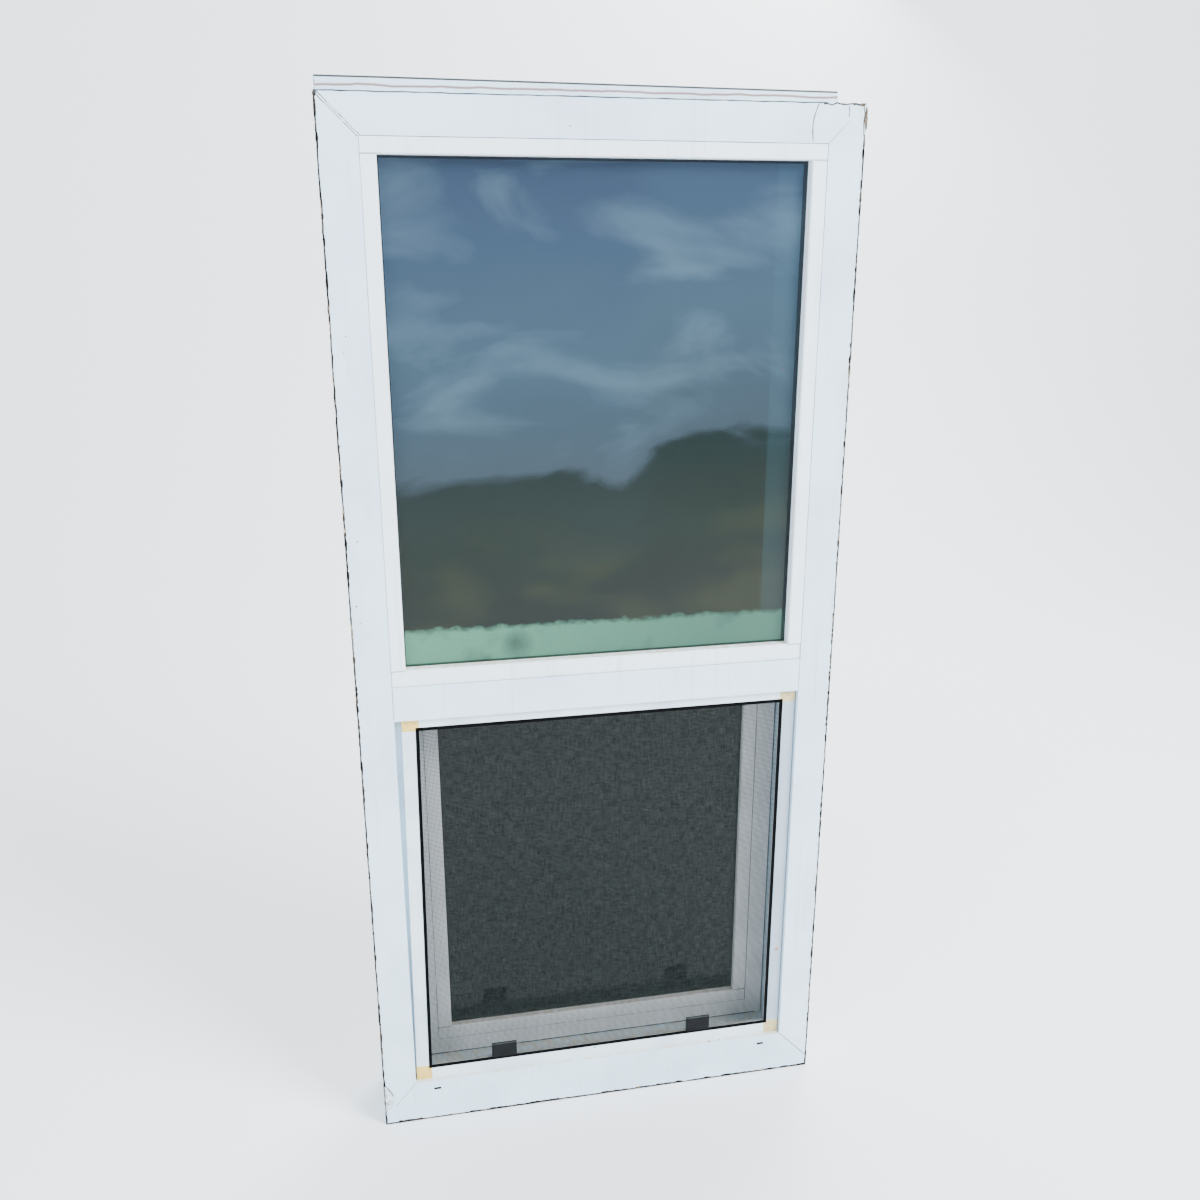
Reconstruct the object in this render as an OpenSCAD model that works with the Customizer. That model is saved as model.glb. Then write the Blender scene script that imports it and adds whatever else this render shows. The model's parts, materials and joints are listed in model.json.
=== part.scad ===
// Single-hung PVC sash window: a fixed upper light, a lower sash that slides up behind
// it on spiral balances, and an insect screen that rests in the outer rebate.
// X runs along the width, Y from the weather side into the room, Z up.
// The origin is the middle of the sill's underside.

/* [Window] */
// Width over the frame
window_w = 520.7; // [440:0.1:800]
// Height over the frame, without the nailing fin
window_h = 1117.6; // [1080:0.1:1500]
// Height of the opening below the meeting rail
vent_h = 458; // [420:0.5:470]
// How far the lower sash slides up
travel = 440; // [300:1:450]

/* [Frame section] */
// Thickness of the walls of the frame and sash sections
wall = 2; // [1.6:0.1:2.4]
// Width of the face of the head and the jambs
face_w = 37; // [30:0.5:50]
// Height of the face of the sill
sill_h = 53; // [44:0.5:70]
// How far the glazing step stands in from the rebate
step_w = 6.5; // [5:0.1:8]
// How far the room lip stands in from the rebate
lip_w = 17; // [14:0.5:22]
// Height of the nailing fin above the head
fin_h = 16.8; // [10:0.1:35]
// Height left at the right end, where the fin was cut off at a slant
fin_low = 14.5; // [3:0.5:16]
// Length of the fin that still has its full height
fin_full = 60; // [20:1:400]
// How far the nailing fin is set back from the face
fin_setback = 35; // [32:0.5:38]
// Thickness of the nailing fin
fin_t = 1.6; // [1.2:0.1:2]
// Length of the fin that has broken away at the right end
fin_loss = 15.5; // [0:0.5:40]

/* [Glazing] */
// Thickness of each pane
pane_t = 3; // [2.2:0.1:4]
// Width of a bead of the upper light
bead_w = 15; // [12:0.1:20]
// Depth of a bead of the upper light
bead_d = 12; // [9:0.1:16]
// Height of the bead that lies on the meeting rail
low_bead_h = 17.5; // [14:0.1:22]
// Space between the upper panes
upper_gap = 12; // [8:0.5:14]
// Space between the sash panes
sash_gap = 10; // [8:0.5:12]
// Thickness of the glazing tape
tape_t = 1; // [0.8:0.1:1.6]
// Thickness of the setting blocks
block_t = 3; // [2:0.5:4]

/* [Meeting rail] */
// Height of the fixed meeting rail
rail_h = 38.5; // [34:0.5:50]
// How far the sash reaches above the fixed meeting rail
check_rise = 32.5; // [28:0.5:40]

/* [Sash] */
// Width of the welded sash section
sash_frame_w = 21.6; // [18:0.1:28]
// Width of a sash bead
sash_bead_w = 15.9; // [12:0.1:20]
// Depth of a sash bead
sash_bead_d = 8; // [6:0.5:10]
// Gap between the sash and the glazing step at each side
side_gap = 2.2; // [1.5:0.1:3]
// Width of the guide fin that runs behind the glazing step
guide_w = 5.2; // [4.5:0.1:6]
// Length of the finger lift
lift_len = 360; // [200:10:380]
// How far the finger lift stands off the sash
lift_d = 12; // [10:0.5:16]

/* [Balances] */
// Outer diameter of a balance tube
tube_d = 16; // [14:0.5:20]
// Wall of a balance tube
tube_wall = 1; // [0.8:0.1:1.4]
// Width of the spiral rod
rod_w = 6.35; // [5:0.05:7]
// Thickness of the spiral rod
rod_t = 1.6; // [1.2:0.1:2]
// Rise of the spiral in one turn
rod_pitch = 48; // [40:1:60]

/* [Screen] */
// Width of the plain part of a screen bar
bar_w = 14.2; // [12:0.1:18]
// Width of the spline groove beside it
groove_w = 3.6; // [3:0.1:4]
// Depth of a screen bar
bar_d = 7.9; // [7:0.1:9]
// Width of the gap between the screen and the rebate at each side
screen_gap = 1.6; // [1:0.1:3]
// How far the left bar of the screen leans in at the top
screen_lean = 6; // [0:0.5:8]
// Setback of the screen from the face
screen_y = 5; // [3:0.5:6]
// Width of a pull tab
tab_w = 29; // [20:0.5:40]
// Distance of each pull tab from the middle of the screen
tab_x = 118.5; // [60:0.5:150]
// Width of the rib on each jamb that the screen closes against
stop_w = 9; // [6:0.5:12]

/* [Lock] */
// Reach of the cam from its pivot
cam_r = 16.8; // [15:0.1:17]
// Length of the lever from the pivot
lever_len = 38; // [30:1:45]
// Width of the keeper
keeper_w = 48; // [36:1:52]

/* [Hidden] */
$fn = 48;

// Depths, from the face into the room
step_y = bead_d + 2 * pane_t + upper_gap + tape_t;
step_in = face_w + step_w;
meeting_gap = 17; // holds the interlock, between the glazing step and the sash
sash_y = step_y + meeting_gap;
sash_leg_t = 4;
sash_d = sash_bead_d + 2 * pane_t + sash_gap + tape_t + sash_leg_t;
track_y = sash_y + 4;
back_gap = 1.6; // between the sash and the room lip
frame_d = sash_y + sash_d + back_gap + 2 * wall;
room_y = frame_d - wall;
lip_in = face_w + lip_w;
pocket_w = tube_d + 5.5; // width of the jamb pocket that the balance stands in
pocket_in = step_in - pocket_w;
half_w = window_w / 2;

// Drain slots
weep_in = 61.7; // distance from the outer edge of the frame
weep_x = half_w - weep_in;
weep_z = 41.6;
weep_w = 8.5;
weep_h = 3.2;
weep_r = 8.2; // radius of the arched top

// Heights
mitre_z = sill_h - face_w;
floor_drop = 3; // from the screen ledge down to the sash's floor
floor_z = sill_h - floor_drop;
track_z = floor_z - 4;
soffit_z = window_h - step_in;
rail_z = sill_h + vent_h;
rail_top = rail_z + rail_h;
sash_z = floor_z + 0.5;
sash_top = rail_top + check_rise;

// Upper light
glass_play = 2.5; // from the rebate to the edge of the glass
glass_in = face_w + glass_play;
glass_z = rail_top + block_t;
glass_top = window_h - glass_in;
spacer_in = 5;
spacer_w = 6.5;
side_bead_z = rail_top + low_bead_h;
side_bead_top = window_h - face_w - bead_w;

// Sash, measured in from its own outer edges
sash_w = window_w - 2 * (step_in + side_gap);
sash_half = sash_w / 2;
sash_play = 2.4; // from the sash section to the edge of its glass
sash_glass_in = sash_frame_w + sash_play;
leg_w = 11; // width of the leg behind the glass
mitre_w = sash_frame_w + leg_w + 1;
guide_y = track_y + 2;
guide_d = 20;
guide_start = 22;
lift_z = sash_z + 27.5;
lift_t = 2.2;

// Interlock between the sash and the fixed rail
hook_y = step_y + 5;
hook_t = 2;
hook_top = sash_top - 4;
hook_drop = 22;
upstand_y = step_y + 12;
upstand_top = hook_top - hook_t - 2;
channel_z = rail_top - 2.5;
slot_wall_y = screen_y + bar_d + 1.1; // back wall of the slot that the screen lifts into

// Balances
tube_in = step_in - pocket_w + tube_d / 2 + 1;
tube_y = track_y + (room_y - track_y) / 2;
foot_h = 14;
foot_z = sash_z + 1.5;
foot_screw_z = foot_z + 4.6;
rod_z = foot_z + foot_h - 5;
tube_z = foot_z + foot_h + travel + 42;
bush_flange = 7.7;
bush_h = 20;
bush_z = tube_z - bush_flange - 0.3;
rod_top = tube_z + 50;
tube_top = soffit_z - 24;
ear_top = soffit_z - 6;
ear_hole_z = ear_top - 8;

// Screen
screen_half = half_w - face_w - screen_gap;
screen_z = sill_h;
screen_top = rail_z + 3.5;
screen_h = screen_top - screen_z;
lean_angle = atan(screen_lean / screen_h);
full_bar = bar_w + groove_w;
skin = 0.9;
groove_y = screen_y + 3.6;
lip_y = screen_y + 0.8;
tab_h = 19.5;
stop_y = screen_y + bar_d + 0.2;
stop_t = 1.6;
spline_proud = 0.2; // how far the spline stands in front of the bars
spline_lip = 0.2; // how far it laps over the mesh
key_in = skin + 0.4;
key_leg = 18;
slot_top = rail_z + 17;
mesh_t = 0.5;

// Lock
pivot_y = sash_y + 10;
plate_t = 2;
cam_z = sash_top + plate_t + 0.6;
cam_h = 3.4;
house_top = sash_top + 8.5;
house_half = 30;
lock_screw_x = 24;
spindle_r = 3;
running = 0.05;
keeper_y = step_y + 4;
keeper_t = 2.5;
keeper_top = cam_z + cam_h + 4;

// Screws
screw_r = 1.8;
head_r = 3.6;
small_r = 1.4;
screw_play = 0.15;
recess_r = 2; // reach of the cross recess in a screw's head
recess_w = 0.8;
recess_d = 1.2;

// ---- Helpers ------------------------------------------------------------------

// Puts a piece that was drawn from the face inwards about the middle of the frame's depth
module placed() translate([0, -frame_d / 2, 0]) children();

// A rectangle between two pairs of bounds
module block(u0, u1, v0, v1) translate([u0, v0]) square([u1 - u0, v1 - v0]);

// Extrudes a (Y, Z) section along X
module along_x(x0, x1)
  translate([x0, 0, 0]) rotate([90, 0, 90]) linear_extrude(x1 - x0) children();

// Extrudes an (X, Z) outline along Y
module along_y(y0, y1)
  translate([0, y1, 0]) rotate([90, 0, 0]) linear_extrude(y1 - y0) children();

// Extrudes an (X, Y) section along Z
module along_z(z0, z1) translate([0, 0, z0]) linear_extrude(z1 - z0) children();

// A cylinder along X
module round_x(x0, x1, y, z, r)
  translate([x0, y, z]) rotate([0, 90, 0]) cylinder(h = x1 - x0, r = r);

module box(x0, x1, y0, y1, z0, z1)
  translate([x0, y0, z0]) cube([x1 - x0, y1 - y0, z1 - z0]);

// A screw along Z: its head stands on the origin, with a cross recess, and its shank goes down
module screw(length, head_h, shank_r, cap_r) difference() {
  union() {
    cylinder(h = head_h, r = cap_r);
    translate([0, 0, -length]) cylinder(h = length + 0.1, r = shank_r);
  }
  for (turn = [0, 90]) rotate([0, 0, turn])
    box(-recess_r, recess_r, -recess_w / 2, recess_w / 2, head_h - recess_d, head_h + 1);
}

// A flat ring between two panes, with its outline inset from the glass edge
module ring(half, z0, z1, inset, width, y0, y1)
  along_y(y0, y1) difference() {
    block(-half + inset, half - inset, z0 + inset, z1 - inset);
    block(-half + inset + width, half - inset - width, z0 + inset + width, z1 - inset - width);
  }

// ---- Fixed frame ----------------------------------------------------------------

// Section of a left jamb behind its face: a is measured in from the outer edge
module jamb_front_section() block(face_w - wall, face_w, wall, step_y);

module jamb_step_section() {
  block(wall, step_in, step_y, step_y + wall);
  block(step_in - wall, step_in, step_y, track_y);
  block(pocket_in - wall, step_in, track_y - wall, track_y);
}

module jamb() {
  translate([-half_w, 0, 0]) difference() {
    union() {
      along_y(0, wall) polygon([
        [0, mitre_z], [face_w, sill_h], [face_w, window_h - face_w], [0, window_h]
      ]);
      along_y(room_y, frame_d) polygon([
        [0, mitre_z], [lip_in, mitre_z + lip_in], [lip_in, window_h - lip_in], [0, window_h]
      ]);
      along_z(0, window_h) block(0, wall, wall, room_y);
      along_z(sill_h, window_h - face_w) jamb_front_section();
      along_z(sill_h, rail_z) block(face_w - wall, face_w + stop_w, stop_y, stop_y + stop_t);
      along_z(floor_z, soffit_z) jamb_step_section();
      along_z(track_z, soffit_z) block(pocket_in - wall, pocket_in, track_y, room_y);
      along_z(mitre_z + lip_in, window_h - lip_in)
        block(lip_in - wall, lip_in, room_y - wall, room_y);
    }
    jamb_holes();
  }
}

// Screw holes: two into the meeting rail, one for the balance tube
module jamb_holes() {
  for (p = rail_boss()) {
    round_x(-1, wall + 1, p[0], p[1], head_r + 1.4);
    round_x(face_w - wall - 1, face_w + 1, p[0], p[1], screw_r + screw_play);
  }
  round_x(pocket_in - wall - 1, pocket_in + 1, tube_y, ear_hole_z, screw_r + screw_play);
}

module frame_jamb_left() color("whitesmoke") placed() jamb();

module frame_jamb_right() color("whitesmoke") placed() mirror([1, 0, 0]) jamb();

module frame_head() color("whitesmoke") placed() difference() {
  union() {
    along_y(0, wall) polygon([
      [-half_w, window_h], [half_w, window_h],
      [half_w - face_w, window_h - face_w], [-half_w + face_w, window_h - face_w]
    ]);
    along_y(room_y, frame_d) polygon([
      [-half_w, window_h], [half_w, window_h],
      [half_w - lip_in, window_h - lip_in], [-half_w + lip_in, window_h - lip_in]
    ]);
    along_x(-half_w + wall, half_w - wall) {
      block(wall, room_y, window_h - wall, window_h);
      block(wall, step_y + wall, window_h - face_w, window_h - face_w + wall);
      block(step_y, step_y + wall, soffit_z, window_h);
      block(step_y, room_y, soffit_z, soffit_z + wall);
      block(track_y, track_y + wall, soffit_z, window_h);
    }
    along_x(-half_w + lip_in, half_w - lip_in)
      block(room_y - wall, room_y, window_h - lip_in, window_h - lip_in + wall);
    along_y(fin_setback, fin_setback + fin_t) polygon([
      [-half_w, window_h], [half_w - fin_loss, window_h],
      [half_w - fin_loss - 1, window_h + fin_low], [-half_w + fin_full, window_h + fin_h],
      [-half_w, window_h + fin_h]
    ]);
  }
  // The face is chipped away at the top right corner
  translate([half_w, 0, window_h]) rotate([0, 52, 0]) box(-20, 20, -1, wall - 0.01, -3.2, 12);
}

module sill_outline(top)
  polygon([
    [-half_w, 0], [half_w, 0], [half_w, mitre_z], [half_w - top + mitre_z, top],
    [-half_w + top - mitre_z, top], [-half_w, mitre_z]
  ]);

module frame_sill() color("whitesmoke") placed() difference() {
  union() {
    along_y(0, wall) sill_outline(sill_h);
    along_y(room_y, frame_d) sill_outline(mitre_z + lip_in);
    along_x(-half_w + wall, half_w - wall) {
      block(wall, room_y, 0, wall);
      block(wall, step_y, sill_h - wall, sill_h);
      block(step_y - wall, step_y, wall, sill_h);
      block(step_y - wall, track_y, floor_z - wall, floor_z);
      block(track_y - wall, track_y, wall, floor_z);
      block(track_y - wall, room_y, track_z - wall, track_z);
    }
  }
  for (side = [-1, 1]) translate([side * weep_x, 0, weep_z]) weep_slot();
}

// Drain slot in the sill face, flat below and arched above
module weep_slot() along_y(-1, wall + 1) intersection() {
  block(-weep_w / 2, weep_w / 2, 1.7 - weep_h, 1.7);
  translate([0, 1.7 - weep_r]) circle(r = weep_r);
}

// ---- Fixed meeting rail -----------------------------------------------------------

// Screw bosses in the rail, as (Y, Z) centres
function rail_boss() = [[step_y - 8, rail_z + 8], [8, rail_top - 9]];

module rail_front_section() {
  block(0, wall, rail_z, rail_top);
  block(0, step_y, rail_top - wall, rail_top);
  block(slot_wall_y, slot_wall_y + wall, rail_z, slot_top);
  block(0, slot_wall_y + wall, slot_top - wall, slot_top);
  block(slot_wall_y, step_y, rail_z, rail_z + wall);
  block(step_y - wall, step_y, rail_z, rail_top);
  for (p = rail_boss()) translate(p) circle(r = screw_r + 2);
  block(rail_boss()[0][0], step_y, rail_boss()[0][1] - 1, rail_boss()[0][1] + 1);
  block(0, rail_boss()[1][0], rail_boss()[1][1] - 1, rail_boss()[1][1] + 1);
}

module rail_back_section() {
  block(step_y, upstand_y + wall, rail_z, rail_z + wall);
  block(step_y, upstand_y + wall, channel_z - wall, channel_z);
  block(step_y, step_y + wall, channel_z - wall, side_bead_z - 1);
  block(upstand_y, upstand_y + wall, rail_z, upstand_top);
  block(step_y - wall, step_y + wall, rail_z, rail_z + wall);
}

module meeting_rail() color("whitesmoke") placed() difference() {
  union() {
    along_x(-half_w + face_w, half_w - face_w) rail_front_section();
    along_x(-half_w + step_in, half_w - step_in) rail_back_section();
  }
  for (p = rail_boss())
    round_x(-half_w, half_w, p[0], p[1], screw_r + screw_play);
  keeper_holes(channel_z - wall - 1, channel_z + 1);
}

module rail_screws() color("silver") placed()
  for (side = [-1, 1], p = rail_boss()) scale_x(side)
    translate([-half_w + face_w - wall, p[0], p[1]]) rotate([0, -90, 0])
      screw(wall + 24, 2.4, screw_r, head_r);

// Mirrors a left-hand piece to the right when side is 1
module scale_x(side) mirror([side > 0 ? 1 : 0, 0, 0]) children();

module interlock_pile() color("dimgray") placed()
  along_x(-half_w + step_in + 1, half_w - step_in - 1)
    block(upstand_y + wall, sash_y - 0.3, rail_top + 6, rail_top + 13);

// ---- Upper light --------------------------------------------------------------------

module upper_pane(y0) along_y(y0, y0 + pane_t)
  block(-half_w + glass_in, half_w - glass_in, glass_z, glass_top);

module upper_pane_outer() color("slategray", 0.5) placed() upper_pane(bead_d);

module upper_pane_inner() color("slategray", 0.5) placed()
  upper_pane(bead_d + pane_t + upper_gap);

module upper_spacer() color("silver") placed()
  ring(half_w - glass_in, glass_z, glass_top, spacer_in, spacer_w,
       bead_d + pane_t, bead_d + pane_t + upper_gap);

module upper_setting_blocks() color("black") placed()
  for (side = [-1, 1])
    translate([side * (half_w - glass_in) / 2, 0, 0])
      box(-40, 40, bead_d + 0.5, step_y - 0.5, rail_top, rail_top + block_t);

module upper_glazing_tape() color("gray") placed()
  ring(half_w - glass_in, glass_z, glass_top, 0, step_in - glass_in - 0.5,
       step_y - tape_t, step_y);

// Hollow snap-in bead, drawn with its glass side at u = width and its face at v = 0
module bead_section(width, depth) difference() {
  polygon([
    [0, 0], [width - 1.2, 0], [width, 1.2], [width, depth], [0, depth]
  ]);
  block(1.3, width - 1.3, 1.3, depth - 1.3);
}

module upper_bead_top() color("white") placed()
  translate([-half_w + face_w, 0, window_h - face_w]) rotate([0, 90, 0])
    linear_extrude(window_w - 2 * face_w) bead_section(bead_w, bead_d);

module upper_bead_bottom() color("white") placed()
  translate([half_w - face_w, 0, rail_top]) rotate([0, -90, 0])
    linear_extrude(window_w - 2 * face_w)
      translate([0, 1]) bead_section(low_bead_h, bead_d - 1);

module upper_side_bead() translate([-half_w + face_w, 0, 0])
  along_z(side_bead_z, side_bead_top) bead_section(bead_w, bead_d);

module upper_bead_left() color("white") placed() upper_side_bead();

module upper_bead_right() color("white") placed() mirror([1, 0, 0]) upper_side_bead();

// ---- Lower sash -----------------------------------------------------------------------

// Welded sash section: u in from the outer edge, v from the sash's weather face
module sash_section() {
  difference() {
    block(0, sash_frame_w, 0, sash_d);
    block(wall, sash_frame_w - wall, wall, sash_d - wall);
  }
  block(sash_frame_w - wall, sash_frame_w + leg_w, sash_d - sash_leg_t, sash_d - sash_leg_t + wall);
  block(sash_frame_w + leg_w - wall, sash_frame_w + leg_w, sash_d - sash_leg_t, sash_d);
}

// Cut a member at 45 degrees at both ends; the outlines are in the plane of the sash
module sash_mitre_side() along_y(sash_y, frame_d) polygon([
  [-sash_half, sash_z], [-sash_half + mitre_w, sash_z + mitre_w],
  [-sash_half + mitre_w, sash_top - mitre_w], [-sash_half, sash_top]
]);

module sash_mitre_end(z_edge, up) along_y(sash_y, frame_d) polygon([
  [-sash_half, z_edge], [sash_half, z_edge],
  [sash_half - mitre_w, z_edge + up * mitre_w], [-sash_half + mitre_w, z_edge + up * mitre_w]
]);

module stile() {
  intersection() {
    translate([-sash_half, sash_y, 0]) along_z(sash_z, sash_top) sash_section();
    sash_mitre_side();
  }
  translate([-sash_half, 0, 0]) along_z(sash_z + guide_start, sash_top) {
    block(-guide_w, 0, guide_y, guide_y + wall);
    block(-guide_w, 0, guide_y + guide_d - wall, guide_y + guide_d);
  }
}

module foot_screw_hole() round_x(-sash_half - 1, -sash_half + wall + 1, tube_y,
  foot_screw_z, screw_r + screw_play);

module sash_stile_left() color("white") placed() difference() {
  stile();
  foot_screw_hole();
}

module sash_stile_right() color("white") placed() mirror([1, 0, 0]) difference() {
  stile();
  foot_screw_hole();
}

module sash_top_rail() color("white") placed() difference() {
  union() {
    intersection() {
      translate([-sash_half, sash_y, sash_top]) rotate([0, 90, 0])
        linear_extrude(sash_w) sash_section();
      sash_mitre_end(sash_top, -1);
    }
    difference() {
      along_x(-sash_half + 2, sash_half - 2) {
        block(hook_y, sash_y, hook_top - hook_t, hook_top);
        block(hook_y, hook_y + hook_t, hook_top - hook_drop, hook_top);
      }
      box(-keeper_w / 2 - 4, keeper_w / 2 + 4, hook_y - 1, sash_y - 0.01, 0, window_h);
    }
  }
  lock_holes(sash_top - wall - 1, sash_top + 1);
}

module sash_bottom_rail() color("white") placed() union() {
  intersection() {
    translate([sash_half, sash_y, sash_z]) rotate([0, -90, 0])
      linear_extrude(sash_w) sash_section();
    sash_mitre_end(sash_z, 1);
  }
  along_x(-lift_len / 2, lift_len / 2) {
    block(sash_y + sash_d - wall, sash_y + sash_d, lift_z - 8, lift_z + lift_t);
    block(sash_y + sash_d - wall, sash_y + sash_d + lift_d, lift_z, lift_z + lift_t);
    block(sash_y + sash_d + lift_d - lift_t, sash_y + sash_d + lift_d, lift_z - 5, lift_z + lift_t);
  }
}

module sash_pane(y0) along_y(y0, y0 + pane_t)
  block(-sash_half + sash_glass_in, sash_half - sash_glass_in,
        sash_z + sash_glass_in, sash_top - sash_glass_in);

module sash_pane_outer() color("slategray", 0.5) placed() sash_pane(sash_y + sash_bead_d);

module sash_pane_inner() color("slategray", 0.5) placed()
  sash_pane(sash_y + sash_bead_d + pane_t + sash_gap);

module sash_spacer() color("silver") placed()
  ring(sash_half - sash_glass_in, sash_z + sash_glass_in, sash_top - sash_glass_in,
       spacer_in, spacer_w, sash_y + sash_bead_d + pane_t,
       sash_y + sash_bead_d + pane_t + sash_gap);

module sash_setting_blocks() color("black") placed()
  for (side = [-1, 1])
    translate([side * sash_half / 2, 0, 0])
      box(-30, 30, sash_y + sash_bead_d + 0.5, sash_y + sash_d - sash_leg_t - 0.5,
          sash_z + sash_frame_w, sash_z + sash_glass_in);

module sash_glazing_tape() color("gray") placed()
  ring(sash_half - sash_glass_in, sash_z + sash_glass_in, sash_top - sash_glass_in, 0, 8,
       sash_y + sash_d - sash_leg_t - tape_t, sash_y + sash_d - sash_leg_t);

// The beads at top and bottom run through, and the side beads stand between them
module sash_level_bead(z_edge, up)
  translate([up * (sash_half - sash_frame_w), sash_y, z_edge]) rotate([0, -90 * up, 0])
    linear_extrude(sash_w - 2 * sash_frame_w) bead_section(sash_bead_w, sash_bead_d);

module sash_bead_bottom() color("white") placed()
  sash_level_bead(sash_z + sash_frame_w, 1);

module sash_bead_top() color("white") placed()
  sash_level_bead(sash_top - sash_frame_w, -1);

module sash_side_bead() translate([-sash_half + sash_frame_w, sash_y, 0])
  along_z(sash_z + sash_frame_w + sash_bead_w, sash_top - sash_frame_w - sash_bead_w)
    bead_section(sash_bead_w, sash_bead_d);

module sash_bead_left() color("white") placed() sash_side_bead();

module sash_bead_right() color("white") placed() mirror([1, 0, 0]) sash_side_bead();

// Pile strips on the guide fins, running on the back of the glazing step
module sash_pile_outer() color("dimgray") placed()
  for (side = [-1, 1]) scale_x(side)
    translate([-sash_half, 0, 0]) along_z(sash_z + guide_start, sash_top)
      block(-guide_w + 0.3, -side_gap - 0.3, track_y + 0.3, guide_y);

// Pile strips on the back of the stiles, running on the room lip
module sash_pile_inner() color("dimgray") placed()
  for (side = [-1, 1]) scale_x(side)
    translate([-sash_half, 0, 0]) along_z(sash_z + 4, sash_top - 4)
      block(1.3, 5.8, sash_y + sash_d, room_y - wall - 0.3);

module sash_bottom_seal() color("black") placed()
  along_x(-sash_half + 4, sash_half - 4) difference() {
    union() {
      block(tube_y - 5, tube_y + 1, sash_z - 1, sash_z);
      translate([tube_y - 2, sash_z - 2.1]) circle(r = 2.1, $fn = 24);
    }
    translate([tube_y - 2, sash_z - 2.1]) circle(r = 1.2, $fn = 24);
  }

// ---- Spiral balances ---------------------------------------------------------------------

// Tube with a flattened ear at the top that is screwed to the floor of the jamb pocket
module balance_tube() {
  translate([-half_w + tube_in, tube_y, 0]) difference() {
    union() {
      translate([0, 0, tube_z]) cylinder(h = tube_top - tube_z, d = tube_d);
      box(-tube_in + pocket_in, -tube_in + pocket_in + 2, -6, 6, tube_top - 10, ear_top);
      box(-tube_in + pocket_in, 0, -4, 4, tube_top - 10, tube_top);
    }
    translate([0, 0, tube_z - 1])
      cylinder(h = tube_top - tube_z - 1, d = tube_d - 2 * tube_wall);
    round_x(-tube_d, 0, 0, ear_hole_z, screw_r + screw_play);
  }
}

module balance_tube_left() color("gainsboro") placed() balance_tube();

module balance_tube_right() color("gainsboro") placed() mirror([1, 0, 0]) balance_tube();

module balance_screws() color("silver") placed()
  for (side = [-1, 1]) scale_x(side)
    translate([-half_w + pocket_in + 2, tube_y, ear_hole_z]) rotate([0, 90, 0])
      screw(12, 2.2, screw_r, head_r);

// Nylon bush at the mouth of the tube: the spiral rod turns it as the sash slides
module balance_bush() translate([-half_w + tube_in, tube_y, bush_z]) difference() {
  union() {
    cylinder(h = bush_flange, d = tube_d - 1);
    cylinder(h = bush_h, d = tube_d - 2 * tube_wall - 0.2);
  }
  translate([0, 0, -1]) cylinder(h = bush_h + 2, d = rod_w + 0.8);
}

module balance_bush_left() color("white") placed() balance_bush();

module balance_bush_right() color("white") placed() mirror([1, 0, 0]) balance_bush();

// Flat strip twisted into a long spiral, in eight slices a turn
module balance_rod() translate([-half_w + tube_in, tube_y, rod_z])
  linear_extrude(rod_top - rod_z, twist = -360 * (rod_top - rod_z) / rod_pitch,
                 slices = round((rod_top - rod_z) / rod_pitch * 8), segments = 4, $fn = 4)
    square([rod_w, rod_t], center = true);

module balance_rod_left() color("silver") placed() balance_rod();

module balance_rod_right() color("silver") placed() mirror([1, 0, 0]) balance_rod();

// Foot on the sash that carries the bottom end of the rod
module balance_foot() difference() {
  box(-half_w + tube_in - 6.5, -sash_half, tube_y - 6, tube_y + 6, foot_z, foot_z + foot_h);
  translate([-half_w + tube_in, tube_y, rod_z]) cylinder(h = foot_h, d = rod_w + 0.3);
  round_x(-half_w, -half_w + tube_in + 5, tube_y, foot_screw_z, head_r + 0.3);
  round_x(-half_w, -sash_half + 1, tube_y, foot_screw_z, screw_r + screw_play);
}

module balance_foot_left() color("white") placed() balance_foot();

module balance_foot_right() color("white") placed() mirror([1, 0, 0]) balance_foot();

module foot_screws() color("silver") placed()
  for (side = [-1, 1]) scale_x(side)
    translate([-half_w + tube_in + 5, tube_y, foot_screw_z]) rotate([0, -90, 0])
      screw(half_w - tube_in - 5 - sash_half + 8, 2.4, screw_r, head_r);

// ---- Cam lock ---------------------------------------------------------------------------

module lock_holes(z0, z1)
  for (side = [-1, 1]) translate([side * lock_screw_x, pivot_y, z0])
    cylinder(h = z1 - z0, r = screw_r + screw_play);

module lock_base() color("white") placed() difference() {
  union() {
    box(-house_half, house_half, sash_y + 2, sash_y + sash_d, sash_top, sash_top + plate_t);
    intersection() {
      box(-house_half + 3, house_half - 3, sash_y + 2, sash_y + sash_d, sash_top, house_top);
      translate([0, pivot_y, sash_top]) cylinder(h = house_top, r = cam_r + 3, $fn = 96);
    }
  }
  translate([0, pivot_y, sash_top + plate_t]) cylinder(h = cam_h + 1, r = cam_r + 0.6, $fn = 96);
  translate([0, pivot_y, sash_top - 1]) cylinder(h = 20, r = spindle_r + running);
  lock_holes(sash_top - 1, house_top + 1);
}

module lock_screws() color("silver") placed()
  for (side = [-1, 1]) translate([side * lock_screw_x, pivot_y, sash_top + plate_t])
    screw(plate_t + 10, 2.2, screw_r, head_r);

// Cam with one tongue, which points into the room while the lock is open
module lock_cam() color("silver") placed() translate([0, pivot_y, cam_z]) difference() {
  union() {
    cylinder(h = cam_h, r = 8.5);
    intersection() {
      cylinder(h = cam_h, r = cam_r, $fn = 96);
      box(-7, 7, 0, 20, -1, 20);
    }
  }
  translate([0, 0, -1]) cylinder(h = 20, r = spindle_r);
}

module lock_lever() color("white") placed() translate([0, pivot_y, 0]) {
  translate([0, 0, sash_top + 0.3]) cylinder(h = house_top - sash_top + 3, r = spindle_r);
  translate([0, 0, house_top + 0.3]) {
    cylinder(h = 4.5, r = 9);
    box(0, lever_len - 6, -5, 5, 0, 4.5);
    translate([lever_len - 6, 0, 0]) cylinder(h = 4.5, r = 6);
    translate([lever_len - 9, -4, 0]) cube([8, 8, 6.5]);
  }
}

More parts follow.
